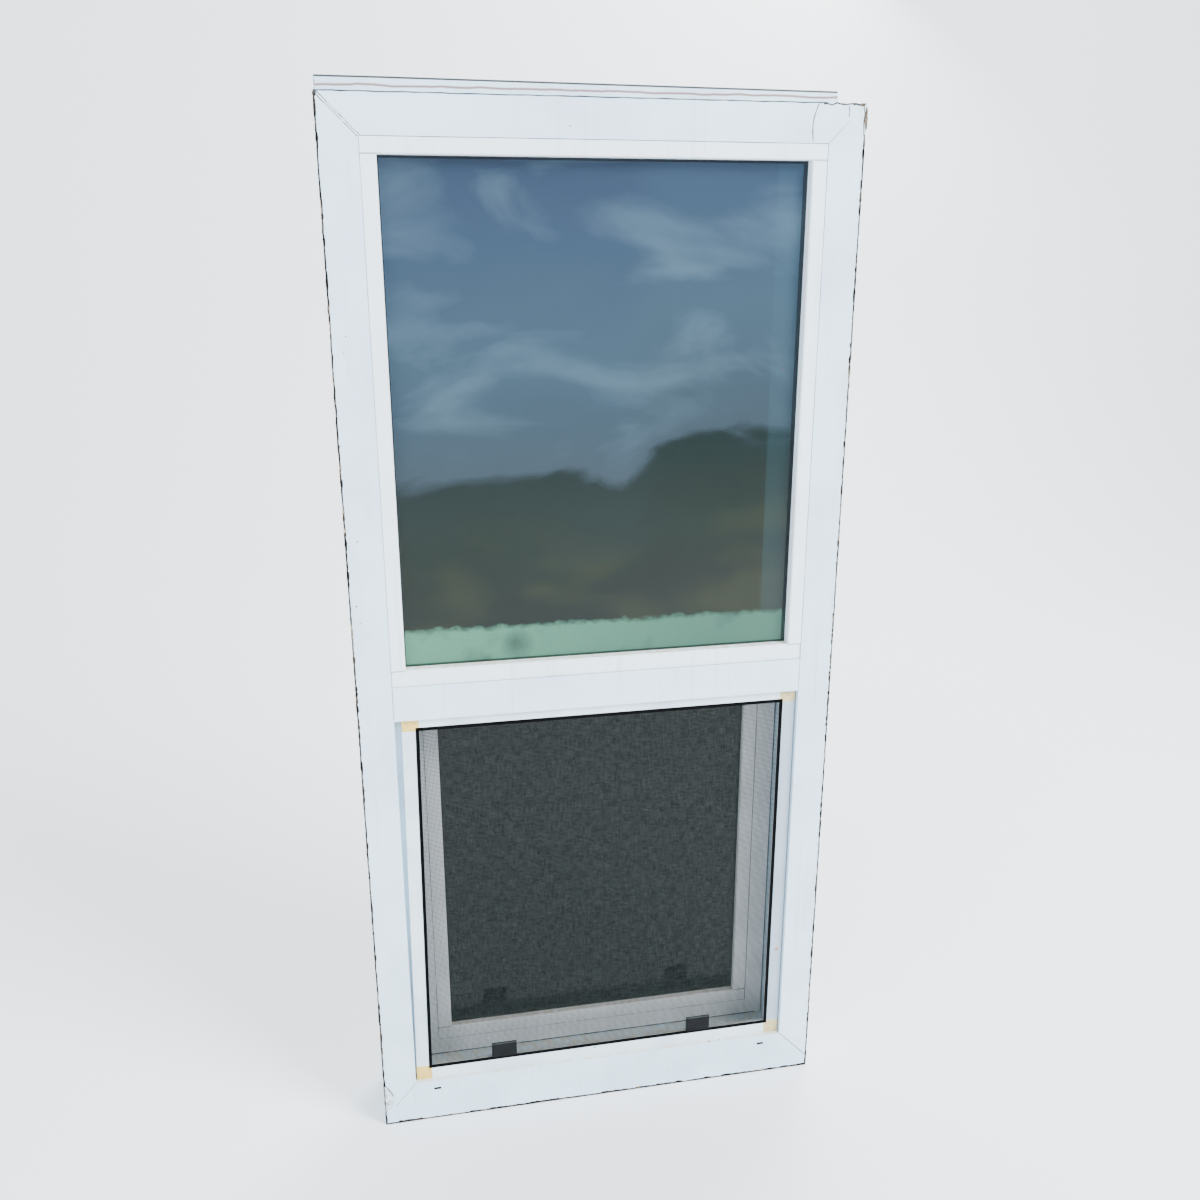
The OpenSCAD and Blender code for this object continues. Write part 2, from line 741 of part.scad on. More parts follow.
module keeper_holes(z0, z1)
  for (side = [-1, 1]) translate([side * keeper_w / 3, keeper_y + 5, z0])
    cylinder(h = z1 - z0, r = small_r + screw_play);

// Keeper that stands in the channel of the fixed rail, with a lip over the cam's tongue
module lock_keeper() color("silver") placed() difference() {
  along_x(-keeper_w / 2, keeper_w / 2) {
    block(keeper_y, keeper_y + keeper_t, channel_z, keeper_top);
    block(step_y + wall + 0.2, upstand_y - 0.2, channel_z, channel_z + keeper_t);
    block(keeper_y, keeper_y + 10, keeper_top - keeper_t, keeper_top);
  }
  keeper_holes(channel_z - 1, channel_z + keeper_t + 1);
}

module keeper_screws() color("silver") placed()
  for (side = [-1, 1]) translate([side * keeper_w / 3, keeper_y + 5, channel_z + keeper_t])
    screw(14, 1.8, small_r, 2.4);

// ---- Insect screen ------------------------------------------------------------------------

// Roll-formed bar: hollow box with an open spline groove along its inner edge
module screen_bar_section() difference() {
  block(0, full_bar, 0, bar_d);
  block(skin, bar_w - skin, skin, bar_d - skin);
  block(bar_w, full_bar - skin, -1, groove_y - screen_y);
  block(bar_w, full_bar + 1, -1, lip_y - screen_y);
  block(bar_w + skin, full_bar + 1, groove_y - screen_y + skin, bar_d + 1);
}

module screen_side_bar(angle) translate([-screen_half, screen_y, screen_z])
  rotate([0, angle, 0])
    along_z(full_bar * (1 + sin(angle)), screen_h - full_bar) screen_bar_section();

module screen_bar_left() color("aliceblue") placed() screen_side_bar(lean_angle);

module screen_bar_right() color("aliceblue") placed() mirror([1, 0, 0]) screen_side_bar(0);

module screen_bar_bottom() color("aliceblue") placed()
  translate([screen_half - full_bar, screen_y, screen_z]) rotate([0, -90, 0])
    linear_extrude(2 * (screen_half - full_bar)) screen_bar_section();

module screen_bar_top() color("aliceblue") placed()
  translate([-screen_half + screen_lean + full_bar, screen_y, screen_top]) rotate([0, 90, 0])
    linear_extrude(2 * (screen_half - full_bar) - screen_lean) screen_bar_section();

// Moulded keys: a block that fills each corner and two legs that push into the bars
module corner_key(angle) translate([-screen_half, screen_y, screen_z]) {
  difference() {
    box(0, full_bar, 0, bar_d, 0, full_bar);
    box(bar_w, full_bar - skin, -1, groove_y - screen_y, bar_w, full_bar + 1);
    box(bar_w, full_bar + 1, -1, groove_y - screen_y, bar_w, full_bar - skin);
    box(bar_w, full_bar + 1, -1, lip_y - screen_y, bar_w, full_bar + 1);
  }
  box(full_bar - 1, full_bar + key_leg, key_in, bar_d - key_in, key_in, bar_w - key_in);
  rotate([0, angle, 0])
    box(key_in, bar_w - key_in, key_in, bar_d - key_in, full_bar - 1, full_bar + key_leg);
}

module screen_corner_keys() color("burlywood") placed() {
  corner_key(lean_angle);
  mirror([1, 0, 0]) corner_key(0);
  translate([screen_lean, 0, screen_z + screen_top]) mirror([0, 0, 1]) corner_key(-lean_angle);
  translate([0, 0, screen_z + screen_top]) mirror([1, 0, 0]) mirror([0, 0, 1]) corner_key(0);
}

// Outline of the screen, drawn in by an inset, with its leaning left side
module screen_outline(inset) {
  slope = screen_lean / screen_h;
  polygon([
    [-screen_half + inset + slope * inset, screen_z + inset],
    [screen_half - inset, screen_z + inset],
    [screen_half - inset, screen_top - inset],
    [-screen_half + inset + slope * (screen_h - inset), screen_top - inset]
  ]);
}

// Spline: a cord pressed into the groove, with a head that laps over the edge of the mesh
module screen_spline() color("black") placed() {
  along_y(lip_y - mesh_t - 0.1, groove_y) difference() {
    screen_outline(bar_w + 0.25);
    screen_outline(full_bar - skin - 0.25);
  }
  along_y(screen_y - spline_proud, lip_y - mesh_t) difference() {
    screen_outline(bar_w + 0.1);
    screen_outline(full_bar + spline_lip);
  }
}

module screen_mesh() color("dimgray", 0.5) placed()
  along_y(lip_y - mesh_t, lip_y) screen_outline(full_bar - skin);

module screen_pull_tabs() color("black") placed()
  for (side = [-1, 1]) translate([side * tab_x, 0, screen_z + full_bar + spline_lip + 0.1])
    box(-tab_w / 2, tab_w / 2, screen_y - 1.2, lip_y - mesh_t, 0, tab_h);

// ---- Nodes ----------------------------------------------------------------------------------

frame_head();
frame_sill();
frame_jamb_left();
frame_jamb_right();
meeting_rail();
rail_screws();
upper_pane_outer();
upper_pane_inner();
upper_spacer();
upper_setting_blocks();
upper_glazing_tape();
upper_bead_top();
upper_bead_bottom();
upper_bead_left();
upper_bead_right();
interlock_pile();
balance_tube_left();
balance_tube_right();
balance_screws();
balance_bush_left();
balance_bush_right();
lock_keeper();
keeper_screws();
sash_stile_left();
sash_stile_right();
sash_top_rail();
sash_bottom_rail();
sash_pane_outer();
sash_pane_inner();
sash_spacer();
sash_setting_blocks();
sash_glazing_tape();
sash_bead_top();
sash_bead_bottom();
sash_bead_left();
sash_bead_right();
sash_pile_outer();
sash_pile_inner();
sash_bottom_seal();
balance_rod_left();
balance_rod_right();
balance_foot_left();
balance_foot_right();
foot_screws();
lock_base();
lock_screws();
lock_cam();
lock_lever();
screen_bar_top();
screen_bar_bottom();
screen_bar_left();
screen_bar_right();
screen_corner_keys();
screen_spline();
screen_mesh();
screen_pull_tabs();
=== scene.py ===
"""Finishes and small pieces for the sash window: weathered vinyl, sealed glazing, the woven
insect mesh, dried sealant round the outer edges, and the studio it stands in."""

import json
import math
import random

import bmesh
import bpy
from mathutils import Matrix, Vector, noise


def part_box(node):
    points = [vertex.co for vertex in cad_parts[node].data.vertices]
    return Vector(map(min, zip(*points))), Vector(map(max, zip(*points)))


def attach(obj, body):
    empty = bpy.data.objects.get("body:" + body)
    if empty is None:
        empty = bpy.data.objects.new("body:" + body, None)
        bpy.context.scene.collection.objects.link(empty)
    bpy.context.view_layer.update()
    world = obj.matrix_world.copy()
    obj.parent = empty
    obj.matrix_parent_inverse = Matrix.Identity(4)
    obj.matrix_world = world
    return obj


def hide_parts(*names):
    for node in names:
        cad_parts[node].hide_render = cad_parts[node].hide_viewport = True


bl_info = {
    "name": "Weathered Sash Window",
    "version": (1, 0, 0),
    "blender": (4, 5, 0),
    "location": "View3D > Sidebar > Window",
    "description": "Finishes a single-hung vinyl window with its insect screen",
    "category": "Object",
}

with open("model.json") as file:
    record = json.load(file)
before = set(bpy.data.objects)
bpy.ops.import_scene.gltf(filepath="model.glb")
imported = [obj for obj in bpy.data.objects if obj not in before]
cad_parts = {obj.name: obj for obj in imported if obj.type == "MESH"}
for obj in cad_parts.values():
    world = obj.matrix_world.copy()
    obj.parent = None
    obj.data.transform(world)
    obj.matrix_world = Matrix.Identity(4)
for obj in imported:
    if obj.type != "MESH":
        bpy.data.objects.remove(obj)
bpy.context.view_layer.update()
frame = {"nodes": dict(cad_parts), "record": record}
MM = 0.001
IN_COLOUR = {"data_type": "RGBA"}  # a Mix node that mixes colours, with its result at output 2

# Places on the window in mm, X from its middle and Z from under its sill
FACE_W, SILL_FACE = 37, 53  # the frame's face at the jambs and head, and at the sill
SIGHT_FOOT, SIGHT_TOP = 567, 1066  # the fixed light between its beads
# Outside these lie the dark seal and the painted shade of the beads round the fixed light
SEAL_SHADE_LEFT, SEAL_SHADE_RIGHT, SEAL_SHADE_FOOT, SEAL_SHADE_TOP = -207, 203.8, 569.5, 1063
MIST_TOP = 597  # the clear, misted foot of the fixed light ends here
PALE_BAND = 177  # a paler band of the fixed light starts here
SHADE_FOOT, SHADE_TOP = 478, 492  # the meeting rail's shade on the pane behind it
FIN_LEFT, FIN_RIGHT = -200, 245  # the length over which the fin's cut edge sinks
RIGHT_BAR = 204.5  # the screen's right bar starts here
SCREEN_TOP = 512
WEEP_SLOTS, WEEP_Z = (61.7, 459), 41.9  # from the frame's left side


def tint(hex_code):
    """An sRGB hex colour as linear red, green, blue and alpha."""
    shares = [int(hex_code[i : i + 2], 16) / 255 for i in (1, 3, 5)]
    linear = [c / 12.92 if c <= 0.04045 else ((c + 0.055) / 1.055) ** 2.4 for c in shares]
    return (*linear, 1.0)


def plug(tree, node, **sockets):
    """Fills a node's sockets, each named with _ for a space, or i and its index. The value
    is a number, a colour or its hex code, a node, or a node with the name of its output."""
    for name, value in sockets.items():
        index = name[0] == "i" and name[1:].isdigit()
        socket = node.inputs[int(name[1:]) if index else name.replace("_", " ")]
        if isinstance(value, bpy.types.Node):
            tree.links.new(value.outputs[0], socket)
        elif isinstance(value, tuple) and isinstance(value[0], bpy.types.Node):
            tree.links.new(value[0].outputs[value[1]], socket)
        else:
            socket.default_value = tint(value) if isinstance(value, str) else value


def add(tree, kind, settings=None, **sockets):
    """Adds a shader node, its kind named without ShaderNode, with its settings and sockets."""
    made = tree.nodes.new("ShaderNode" + kind)
    for name, value in (settings or {}).items():
        if name == "stops":
            while len(made.color_ramp.elements) < len(value):
                made.color_ramp.elements.new(0.5)
            for stop, (place, colour) in zip(made.color_ramp.elements, value):
                stop.position, stop.color = place, colour
        else:
            setattr(made, name, value)
    plug(tree, made, **sockets)
    return made


def new_material(name):
    """A material, its node tree, its shader, and the source of the object's coordinates."""
    material = bpy.data.materials.new(name)
    material.use_nodes = True
    tree = material.node_tree
    where = (add(tree, "TexCoord"), "Object")
    return material, tree, tree.nodes["Principled BSDF"], where


def finish(slot, material):
    """Gives every CAD node of a material slot the material."""
    for part in frame["record"]["subparts"]:
        if part["material_slot"] == slot:
            wear(frame["nodes"][part["node"]], material)


def wear(piece, material):
    piece.data.materials.clear()
    piece.data.materials.append(material)


def make_piece(name, bm, material, body):
    """Turns a bmesh into a named piece that rides on a body."""
    bmesh.ops.recalc_face_normals(bm, faces=bm.faces)
    mesh = bpy.data.meshes.new(name)
    bm.to_mesh(mesh)
    bm.free()
    piece = bpy.data.objects.new(name, mesh)
    bpy.context.scene.collection.objects.link(piece)
    wear(piece, material)
    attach(piece, body)
    return piece


# ---- Sizes and colours ---------------------------------------------------------------


class VinylColours(bpy.types.PropertyGroup):
    frame_white: bpy.props.FloatVectorProperty(
        name="Frame white", description="Colour of the frame's vinyl",
        default=tint("#D3ECFA"), size=4, subtype="COLOR", min=0, max=1)
    frame_shade: bpy.props.FloatVectorProperty(
        name="Frame shade", description="Duller colour of weathered patches",
        default=tint("#BACDDC"), size=4, subtype="COLOR", min=0, max=1)
    bead_white: bpy.props.FloatVectorProperty(
        name="Bead white", description="Colour of the glazing beads",
        default=tint("#E6F4FB"), size=4, subtype="COLOR", min=0, max=1)
    sash_white: bpy.props.FloatVectorProperty(
        name="Sash white", description="Colour of the sliding sash",
        default=tint("#EEF0EF"), size=4, subtype="COLOR", min=0, max=1)
    dust: bpy.props.FloatVectorProperty(
        name="Dust", description="Colour of the dust on ledges",
        default=tint("#D9CFB8"), size=4, subtype="COLOR", min=0, max=1)


class GlassColours(bpy.types.PropertyGroup):
    # Painted reflection of the sky and its clouds at the top of the fixed light
    sky: bpy.props.FloatVectorProperty(
        name="Upper painted reflection", description="Colour of the painted sky reflection at the top of the fixed light",
        default=tint("#304154"), size=4, subtype="COLOR", min=0, max=1)
    # The glass's own green tint, with a painted reflection of dark ground, a hedge and a roof
    deep: bpy.props.FloatVectorProperty(
        name="Lower tint", description="Colour of the glass and its painted reflection further down",
        default=tint("#12211F"), size=4, subtype="COLOR", min=0, max=1)
    clear: bpy.props.FloatVectorProperty(
        name="Clear green", description="Tint of the clear glass",
        default=tint("#4F8269"), size=4, subtype="COLOR", min=0, max=1)


class ScreenSizes(bpy.types.PropertyGroup):
    strand: bpy.props.FloatProperty(
        name="Strand", description="Thickness of a yarn of the insect mesh",
        default=0.28 * MM, unit="LENGTH", min=0.1 * MM, max=0.6 * MM, precision=5)
    pitch_across: bpy.props.FloatProperty(
        name="Pitch across", description="Spacing of the upright yarns",
        default=1.41 * MM, unit="LENGTH", min=1 * MM, max=4 * MM, precision=5)
    pitch_up: bpy.props.FloatProperty(
        name="Pitch up", description="Spacing of the level yarns",
        default=1.59 * MM, unit="LENGTH", min=1 * MM, max=4 * MM, precision=5)
    lean: bpy.props.FloatProperty(
        name="Lean", description="How far the left bar leans in at its top",
        default=6 * MM, unit="LENGTH", min=0, max=8 * MM)


class WeatherMarks(bpy.types.PropertyGroup):
    sealant_width: bpy.props.FloatProperty(
        name="Sealant width", description="Usual width of the dried sealant",
        default=2.6 * MM, unit="LENGTH", min=0.5 * MM, max=3 * MM)
    sealant_step: bpy.props.FloatProperty(
        name="Sealant step", description="Spacing of the lumps of dried sealant",
        default=6 * MM, unit="LENGTH", min=2 * MM, max=30 * MM)


class Studio(bpy.types.PropertyGroup):
    lens: bpy.props.FloatProperty(
        name="Lens", description="Focal length of the camera",
        default=33.32, unit="CAMERA", min=10, max=200)
    floor_tone: bpy.props.FloatVectorProperty(
        name="Floor", description="Colour of the floor and the backdrop",
        default=tint("#F8F8F8"), size=4, subtype="COLOR", min=0, max=1)
    key_power: bpy.props.FloatProperty(
        name="Key light", description="Power of the large soft light",
        default=330, unit="POWER", min=0, max=1000)
    sky_strength: bpy.props.FloatProperty(
        name="Surround", description="Strength of the even light all round",
        default=1.45, min=0, max=5)


# ---- Materials -------------------------------------------------------------------------


def ledge_dust(tree, where, colour, dust, amount):
    """Dust that has settled on faces that look up, thicker in patches 8 mm across."""
    facing = add(tree, "NewGeometry")
    split = add(tree, "SeparateXYZ", Vector=(facing, "Normal"))
    patches = add(tree, "TexNoise", Vector=where, Scale=1 / (8 * MM), Detail=5.0)
    heap = add(tree, "MapRange", Value=(patches, "Fac"), From_Min=0.3, From_Max=0.62, To_Max=amount)
    level = add(tree, "MapRange", Value=(split, "Z"), From_Min=0.6, From_Max=0.95)
    share = add(tree, "Math", {"operation": "MULTIPLY"}, i0=heap, i1=level)
    return add(tree, "Mix", IN_COLOUR, Factor=share, i6=colour, i7=dust)


def vinyl_colour(tree, where, white, shade, dust):
    """Chalked vinyl: patches 70 mm across, faint rain streaks 6 mm wide, and dust."""
    patches = add(tree, "TexNoise", Vector=where, Scale=1 / (70 * MM), Detail=4.0)
    chalk = add(tree, "MapRange", Value=(patches, "Fac"), From_Min=0.42, From_Max=0.7, To_Max=0.55)
    base = add(tree, "Mix", IN_COLOUR, Factor=chalk, i6=white, i7=shade)
    run = add(tree, "Mapping", Vector=where, Scale=(1 / (6 * MM), 1 / (6 * MM), 1 / (160 * MM)))
    streaks = add(tree, "TexNoise", Vector=run, Scale=1.0, Detail=3.0)
    wet = add(tree, "MapRange", Value=(streaks, "Fac"), From_Min=0.56, From_Max=0.78, To_Max=0.3)
    streaked = add(tree, "Mix", IN_COLOUR, Factor=wet, i6=(base, 2), i7="#B9BBB6")
    specks = add(tree, "TexVoronoi", Vector=where, Scale=1 / (16 * MM))
    dot = add(tree, "MapRange", Value=(specks, "Distance"), From_Min=0.045, From_Max=0.03,
              To_Max=0.5)
    spotted = add(tree, "Mix", IN_COLOUR, Factor=dot, i6=(streaked, 2), i7="#7D6A55")
    return ledge_dust(tree, where, (spotted, 2), dust, 0.85)


def vinyl_surface(tree, shader, where, roughness):
    """Satin extruded skin with a faint ripple 5 mm long."""
    ripple = add(tree, "TexNoise", Vector=where, Scale=1 / (5 * MM), Detail=3.0)
    grain = add(tree, "TexNoise", Vector=where, Scale=1 / (0.8 * MM), Detail=2.0)
    both = add(tree, "Math", {"operation": "MULTIPLY_ADD"}, i0=grain, i1=0.35, i2=ripple)
    bump = add(tree, "Bump", Strength=0.25, Distance=0.15 * MM, Height=both)
    dull = add(tree, "MapRange", Value=(ripple, "Fac"), To_Min=roughness - 0.06,
               To_Max=roughness + 0.1)
    plug(tree, shader, Normal=bump, Roughness=dull, IOR=1.53)


def weathered_frame_vinyl(colours):
    """Rigid PVC, extruded and then chalked by sun: bluish white and satin, with a thin
    line of grime round the face, and a nailing fin that was cut and stained."""
    material, tree, shader, where = new_material("weathered extruded PVC")
    vinyl = vinyl_colour(tree, where, colours.frame_white, colours.frame_shade, colours.dust)
    place = add(tree, "SeparateXYZ", Vector=where)
    facing = add(tree, "NewGeometry")
    turn = add(tree, "SeparateXYZ", Vector=(facing, "Normal"))
    outside = add(tree, "Math", {"operation": "LESS_THAN"}, i0=(turn, "Y"), i1=-0.5)
    across = add(tree, "Math", {"operation": "ABSOLUTE"}, i0=(place, "X"))
    low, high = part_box("frame_jamb_left")
    side = add(tree, "Math", {"operation": "SUBTRACT"}, i0=-low.x, i1=across)
    near = add(tree, "Math", {"operation": "MINIMUM"}, i0=side, i1=(place, "Z"))
    ragged = add(tree, "TexNoise", Vector=where, Scale=1 / (5 * MM), Detail=6.0, Roughness=0.7)
    reach = add(tree, "MapRange", Value=(ragged, "Fac"), From_Min=0.4, From_Max=0.72,
                To_Max=2.2 * MM)
    grime = add(tree, "Math", {"operation": "LESS_THAN"}, i0=near, i1=reach)
    grime = add(tree, "Math", {"operation": "MULTIPLY"}, i0=grime, i1=outside)
    grime = add(tree, "Math", {"operation": "MULTIPLY"}, i0=grime, i1=0.93)
    edged = add(tree, "Mix", IN_COLOUR, Factor=grime, i6=(vinyl, 2), i7="#120F0D")
    # On the fin, one wavering brown line at mid height and a black line along its cut edge,
    # which starts 1.7 mm below its top at the left and 4 mm below at the right
    waver_run = add(tree, "Mapping", Vector=where, Scale=(1 / (40 * MM), 1, 1))
    waver = add(tree, "TexNoise", Vector=waver_run, Scale=1.0, Detail=5.0)
    line_z = add(tree, "Math", {"operation": "MULTIPLY_ADD"}, i0=waver, i1=5 * MM,
                 i2=high.z + 6.5 * MM)
    off = add(tree, "Math", {"operation": "SUBTRACT"}, i0=(place, "Z"), i1=line_z)
    off = add(tree, "Math", {"operation": "ABSOLUTE"}, i0=off)
    brown = add(tree, "MapRange", Value=off, From_Min=1.5 * MM, From_Max=0.6 * MM, To_Max=0.85)
    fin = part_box("frame_head")[1].z
    cut_z = add(tree, "MapRange", Value=(place, "X"), From_Min=FIN_LEFT * MM,
                From_Max=FIN_RIGHT * MM, To_Min=fin - 1.7 * MM, To_Max=fin - 4.0 * MM)
    cut = add(tree, "Math", {"operation": "GREATER_THAN"}, i0=(place, "Z"), i1=cut_z)
    cut = add(tree, "Math", {"operation": "MULTIPLY"}, i0=cut, i1=0.96)
    above = add(tree, "Math", {"operation": "GREATER_THAN"}, i0=(place, "Z"), i1=high.z + 0.3 * MM)
    brown = add(tree, "Math", {"operation": "MULTIPLY"}, i0=brown, i1=above)
    lined = add(tree, "Mix", IN_COLOUR, Factor=brown, i6=(edged, 2), i7="#7A4A3A")
    stained = add(tree, "Mix", IN_COLOUR, Factor=cut, i6=(lined, 2), i7="#0A0706")
    plug(tree, shader, Base_Color=(stained, 2))
    vinyl_surface(tree, shader, where, 0.42)
    return material


def clean_vinyl(name, white, shade, dust, roughness):
    """Rigid PVC that the weather reached less: beads, sash."""
    material, tree, shader, where = new_material(name)
    plug(tree, shader, Base_Color=(vinyl_colour(tree, where, white, shade, dust), 2))
    vinyl_surface(tree, shader, where, roughness)
    return material


def glass_with_painted_reflection(colours):
    """Outer pane of the fixed light: coated float glass with fog between the panes. Its haze is
    a painted reflection: slate blue with soft clouds at the top, and further down the glass's
    dark green with a painted reflection of dark ground, a hedge and a roof. In the
    lowest 40 mm it is clear and mint green, with beads of condensation."""
    material, tree, shader, where = new_material("coated float glass with painted reflection")
    place = add(tree, "SeparateXYZ", Vector=where)
    # Painted reflection: slate blue with clouds above, dark green below
    clouds_run = add(tree, "Mapping", Vector=where, Scale=(1 / (190 * MM), 1, 1 / (80 * MM)))
    clouds = add(tree, "TexNoise", Vector=clouds_run, Scale=1.0, Detail=6.0, Distortion=0.5)
    drift = add(tree, "MapRange", Value=(clouds, "Fac"), From_Min=0.3, From_Max=0.7, To_Min=-0.05,
                To_Max=0.05)
    # The dark part, a painted reflection of a dark hedge and a roof, climbs 45 mm higher at the
    # right
    climb = add(tree, "MapRange", {"interpolation_type": "SMOOTHSTEP"}, Value=(place, "X"),
                From_Min=20 * MM, From_Max=70 * MM, To_Min=0.0, To_Max=-0.09)
    height = add(tree, "MapRange", Value=(place, "Z"), From_Min=SIGHT_FOOT * MM,
                 From_Max=SIGHT_TOP * MM)
    mixed = add(tree, "Math", {"operation": "ADD"}, i0=height, i1=drift)
    mixed = add(tree, "Math", {"operation": "ADD"}, i0=mixed, i1=climb)
    body = add(tree, "ValToRGB", {"stops": [
        (0.1, tint("#07150E")), (0.2, tint("#0A1B12")), (0.36, colours.deep),
        (0.39, tint("#323F47")), (0.62, tint("#364956")), (0.86, colours.sky),
        (1.0, tint("#2A384A"))]}, Fac=mixed)
    bright = add(tree, "MapRange", Value=(clouds, "Fac"), From_Min=0.48, From_Max=0.72, To_Max=0.5)
    sky_only = add(tree, "MapRange", Value=mixed, From_Min=0.4, From_Max=0.5)
    bright = add(tree, "Math", {"operation": "MULTIPLY"}, i0=bright, i1=sky_only)
    reflected_clouds = add(tree, "Mix", IN_COLOUR, Factor=bright, i6=body, i7="#5D7785")
    # Brownish patches of the painted reflection at the lower right, and a paler band beside the
    # right bead
    rust = add(tree, "TexNoise", Vector=clouds_run, Scale=1.6, Detail=2.0)
    warm = add(tree, "MapRange", Value=(rust, "Fac"), From_Min=0.45, From_Max=0.65, To_Max=0.5)
    low_only = add(tree, "MapRange", Value=mixed, From_Min=0.3, From_Max=0.18)
    warm = add(tree, "Math", {"operation": "MULTIPLY"}, i0=warm, i1=low_only)
    hazed = add(tree, "Mix", IN_COLOUR, Factor=warm, i6=(reflected_clouds, 2), i7="#2A3019")
    pale = add(tree, "MapRange", Value=(place, "X"), From_Min=PALE_BAND * MM,
               From_Max=(PALE_BAND + 3) * MM, To_Max=0.12)
    banded = add(tree, "Mix", IN_COLOUR, Factor=pale, i6=(hazed, 2), i7="#3F616C")
    wet = add(tree, "TexVoronoi", Vector=where, Scale=1 / (2.2 * MM))
    drops = add(tree, "MapRange", Value=(wet, "Distance"), From_Min=0.28, From_Max=0.2, To_Max=0.3)
    misted = add(tree, "Mix", IN_COLOUR, Factor=drops, i6=colours.clear, i7="#2E4A3F")
    smudge = add(tree, "TexNoise", Vector=where, Scale=1 / (45 * MM), Detail=5.0)
    smudged = add(tree, "MapRange", Value=(smudge, "Fac"), From_Min=0.55, From_Max=0.72,
                  To_Max=0.55)
    misted = add(tree, "Mix", IN_COLOUR, Factor=smudged, i6=(misted, 2), i7="#1B2B24")
    # A dark blot 40 mm across sits in the mist, left of the middle
    blot = add(tree, "VectorMath", {"operation": "DISTANCE"}, i0=where,
               i1=(-90 * MM, -27 * MM, 584 * MM))
    blotted = add(tree, "MapRange", Value=(blot, "Value"), From_Min=20 * MM, From_Max=4 * MM,
                  To_Max=1.6)
    blotted = add(tree, "Math", {"operation": "MULTIPLY"}, i0=blotted, i1=smudge)
    misted = add(tree, "Mix", IN_COLOUR, Factor=blotted, i6=(misted, 2), i7="#0C1712")
    side = add(tree, "MapRange", Value=(place, "X"), From_Min=-190 * MM, From_Max=120 * MM,
               To_Max=0.65)
    misted = add(tree, "Mix", IN_COLOUR, Factor=side, i6=(misted, 2), i7="#2F5247")
    fog = add(tree, "TexNoise", Vector=where, Scale=1 / (12 * MM), Detail=6.0)
    mist_top = add(tree, "Math", {"operation": "MULTIPLY_ADD"}, i0=fog, i1=14 * MM,
                   i2=MIST_TOP * MM)
    band = add(tree, "Math", {"operation": "SUBTRACT"}, i0=mist_top, i1=(place, "Z"))
    clear = add(tree, "MapRange", Value=band, From_Min=-3 * MM, From_Max=3 * MM)
    whole = add(tree, "Mix", IN_COLOUR, Factor=clear, i6=(banded, 2), i7=(misted, 2))
    # The dark seal, with painted shade from the beads' returns, lies beside the beads, 3 mm wide at
    # the right and the top
    right = add(tree, "Math", {"operation": "GREATER_THAN"}, i0=(place, "X"), i1=SEAL_SHADE_RIGHT * MM)
    left = add(tree, "Math", {"operation": "LESS_THAN"}, i0=(place, "X"), i1=SEAL_SHADE_LEFT * MM)
    top = add(tree, "Math", {"operation": "GREATER_THAN"}, i0=(place, "Z"), i1=SEAL_SHADE_TOP * MM)
    foot = add(tree, "Math", {"operation": "LESS_THAN"}, i0=(place, "Z"), i1=SEAL_SHADE_FOOT * MM)
    seal_and_shade_rim = right
    for edge in (left, top, foot):
        seal_and_shade_rim = add(tree, "Math", {"operation": "MAXIMUM"}, i0=seal_and_shade_rim, i1=edge)
    seal_and_shade_rim = add(tree, "Math", {"operation": "MULTIPLY"}, i0=seal_and_shade_rim, i1=0.8)
    edged = add(tree, "Mix", IN_COLOUR, Factor=seal_and_shade_rim, i6=(whole, 2), i7="#0E1316")
    film = add(tree, "TexNoise", Vector=where, Scale=1 / (40 * MM), Detail=6.0)
    soft = add(tree, "MapRange", Value=(film, "Fac"), To_Min=0.06, To_Max=0.16)
    plug(tree, shader, Base_Color=(edged, 2), Roughness=soft, Transmission_Weight=0.25, IOR=1.5,
         Specular_IOR_Level=0.2)
    return material


def tinted_glass(name, tone, through):
    """Float glass with a green-grey cast and a faint, even film of dust."""
    material, tree, shader, where = new_material(name)
    film = add(tree, "TexNoise", Vector=where, Scale=1 / (3 * MM), Detail=6.0)
    share = add(tree, "MapRange", Value=(film, "Fac"), From_Min=0.4, From_Max=0.75, To_Max=0.2)
    cast = add(tree, "Mix", IN_COLOUR, Factor=share, i6=tone, i7="#1A2321")
    # The top of a pane behind a rail stays in its shade
    place = add(tree, "SeparateXYZ", Vector=where)
    shade = add(tree, "MapRange", Value=(place, "Z"), From_Min=SHADE_FOOT * MM,
                From_Max=SHADE_TOP * MM, To_Max=0.75)
    cast = add(tree, "Mix", IN_COLOUR, Factor=shade, i6=(cast, 2), i7="#020303")
    soft = add(tree, "MapRange", Value=(film, "Fac"), To_Min=0.05, To_Max=0.14)
    plug(tree, shader, Base_Color=(cast, 2), Roughness=soft, Transmission_Weight=through, IOR=1.5,
         Specular_IOR_Level=0.2)
    return material


def spacer_aluminium():
    """Roll-formed mill aluminium: satin, with a row of fine holes 3 mm apart that lets
    the drying beads inside breathe."""
    material, tree, shader, where = new_material("roll-formed mill aluminium")
    holes = add(tree, "TexVoronoi", Vector=where, Scale=1 / (3 * MM), Randomness=0.0)
    hole = add(tree, "MapRange", Value=(holes, "Distance"), From_Min=0.14, From_Max=0.1, To_Max=0.7)
    colour = add(tree, "Mix", IN_COLOUR, Factor=hole, i6="#B9BDBA", i7="#4A4D4B")
    rolled = add(tree, "TexNoise", Vector=where, Scale=1 / (1.5 * MM), Detail=3.0)
    rough = add(tree, "MapRange", Value=(rolled, "Fac"), To_Min=0.3, To_Max=0.48)
    plug(tree, shader, Base_Color=(colour, 2), Roughness=rough, Metallic=1.0)
    return material


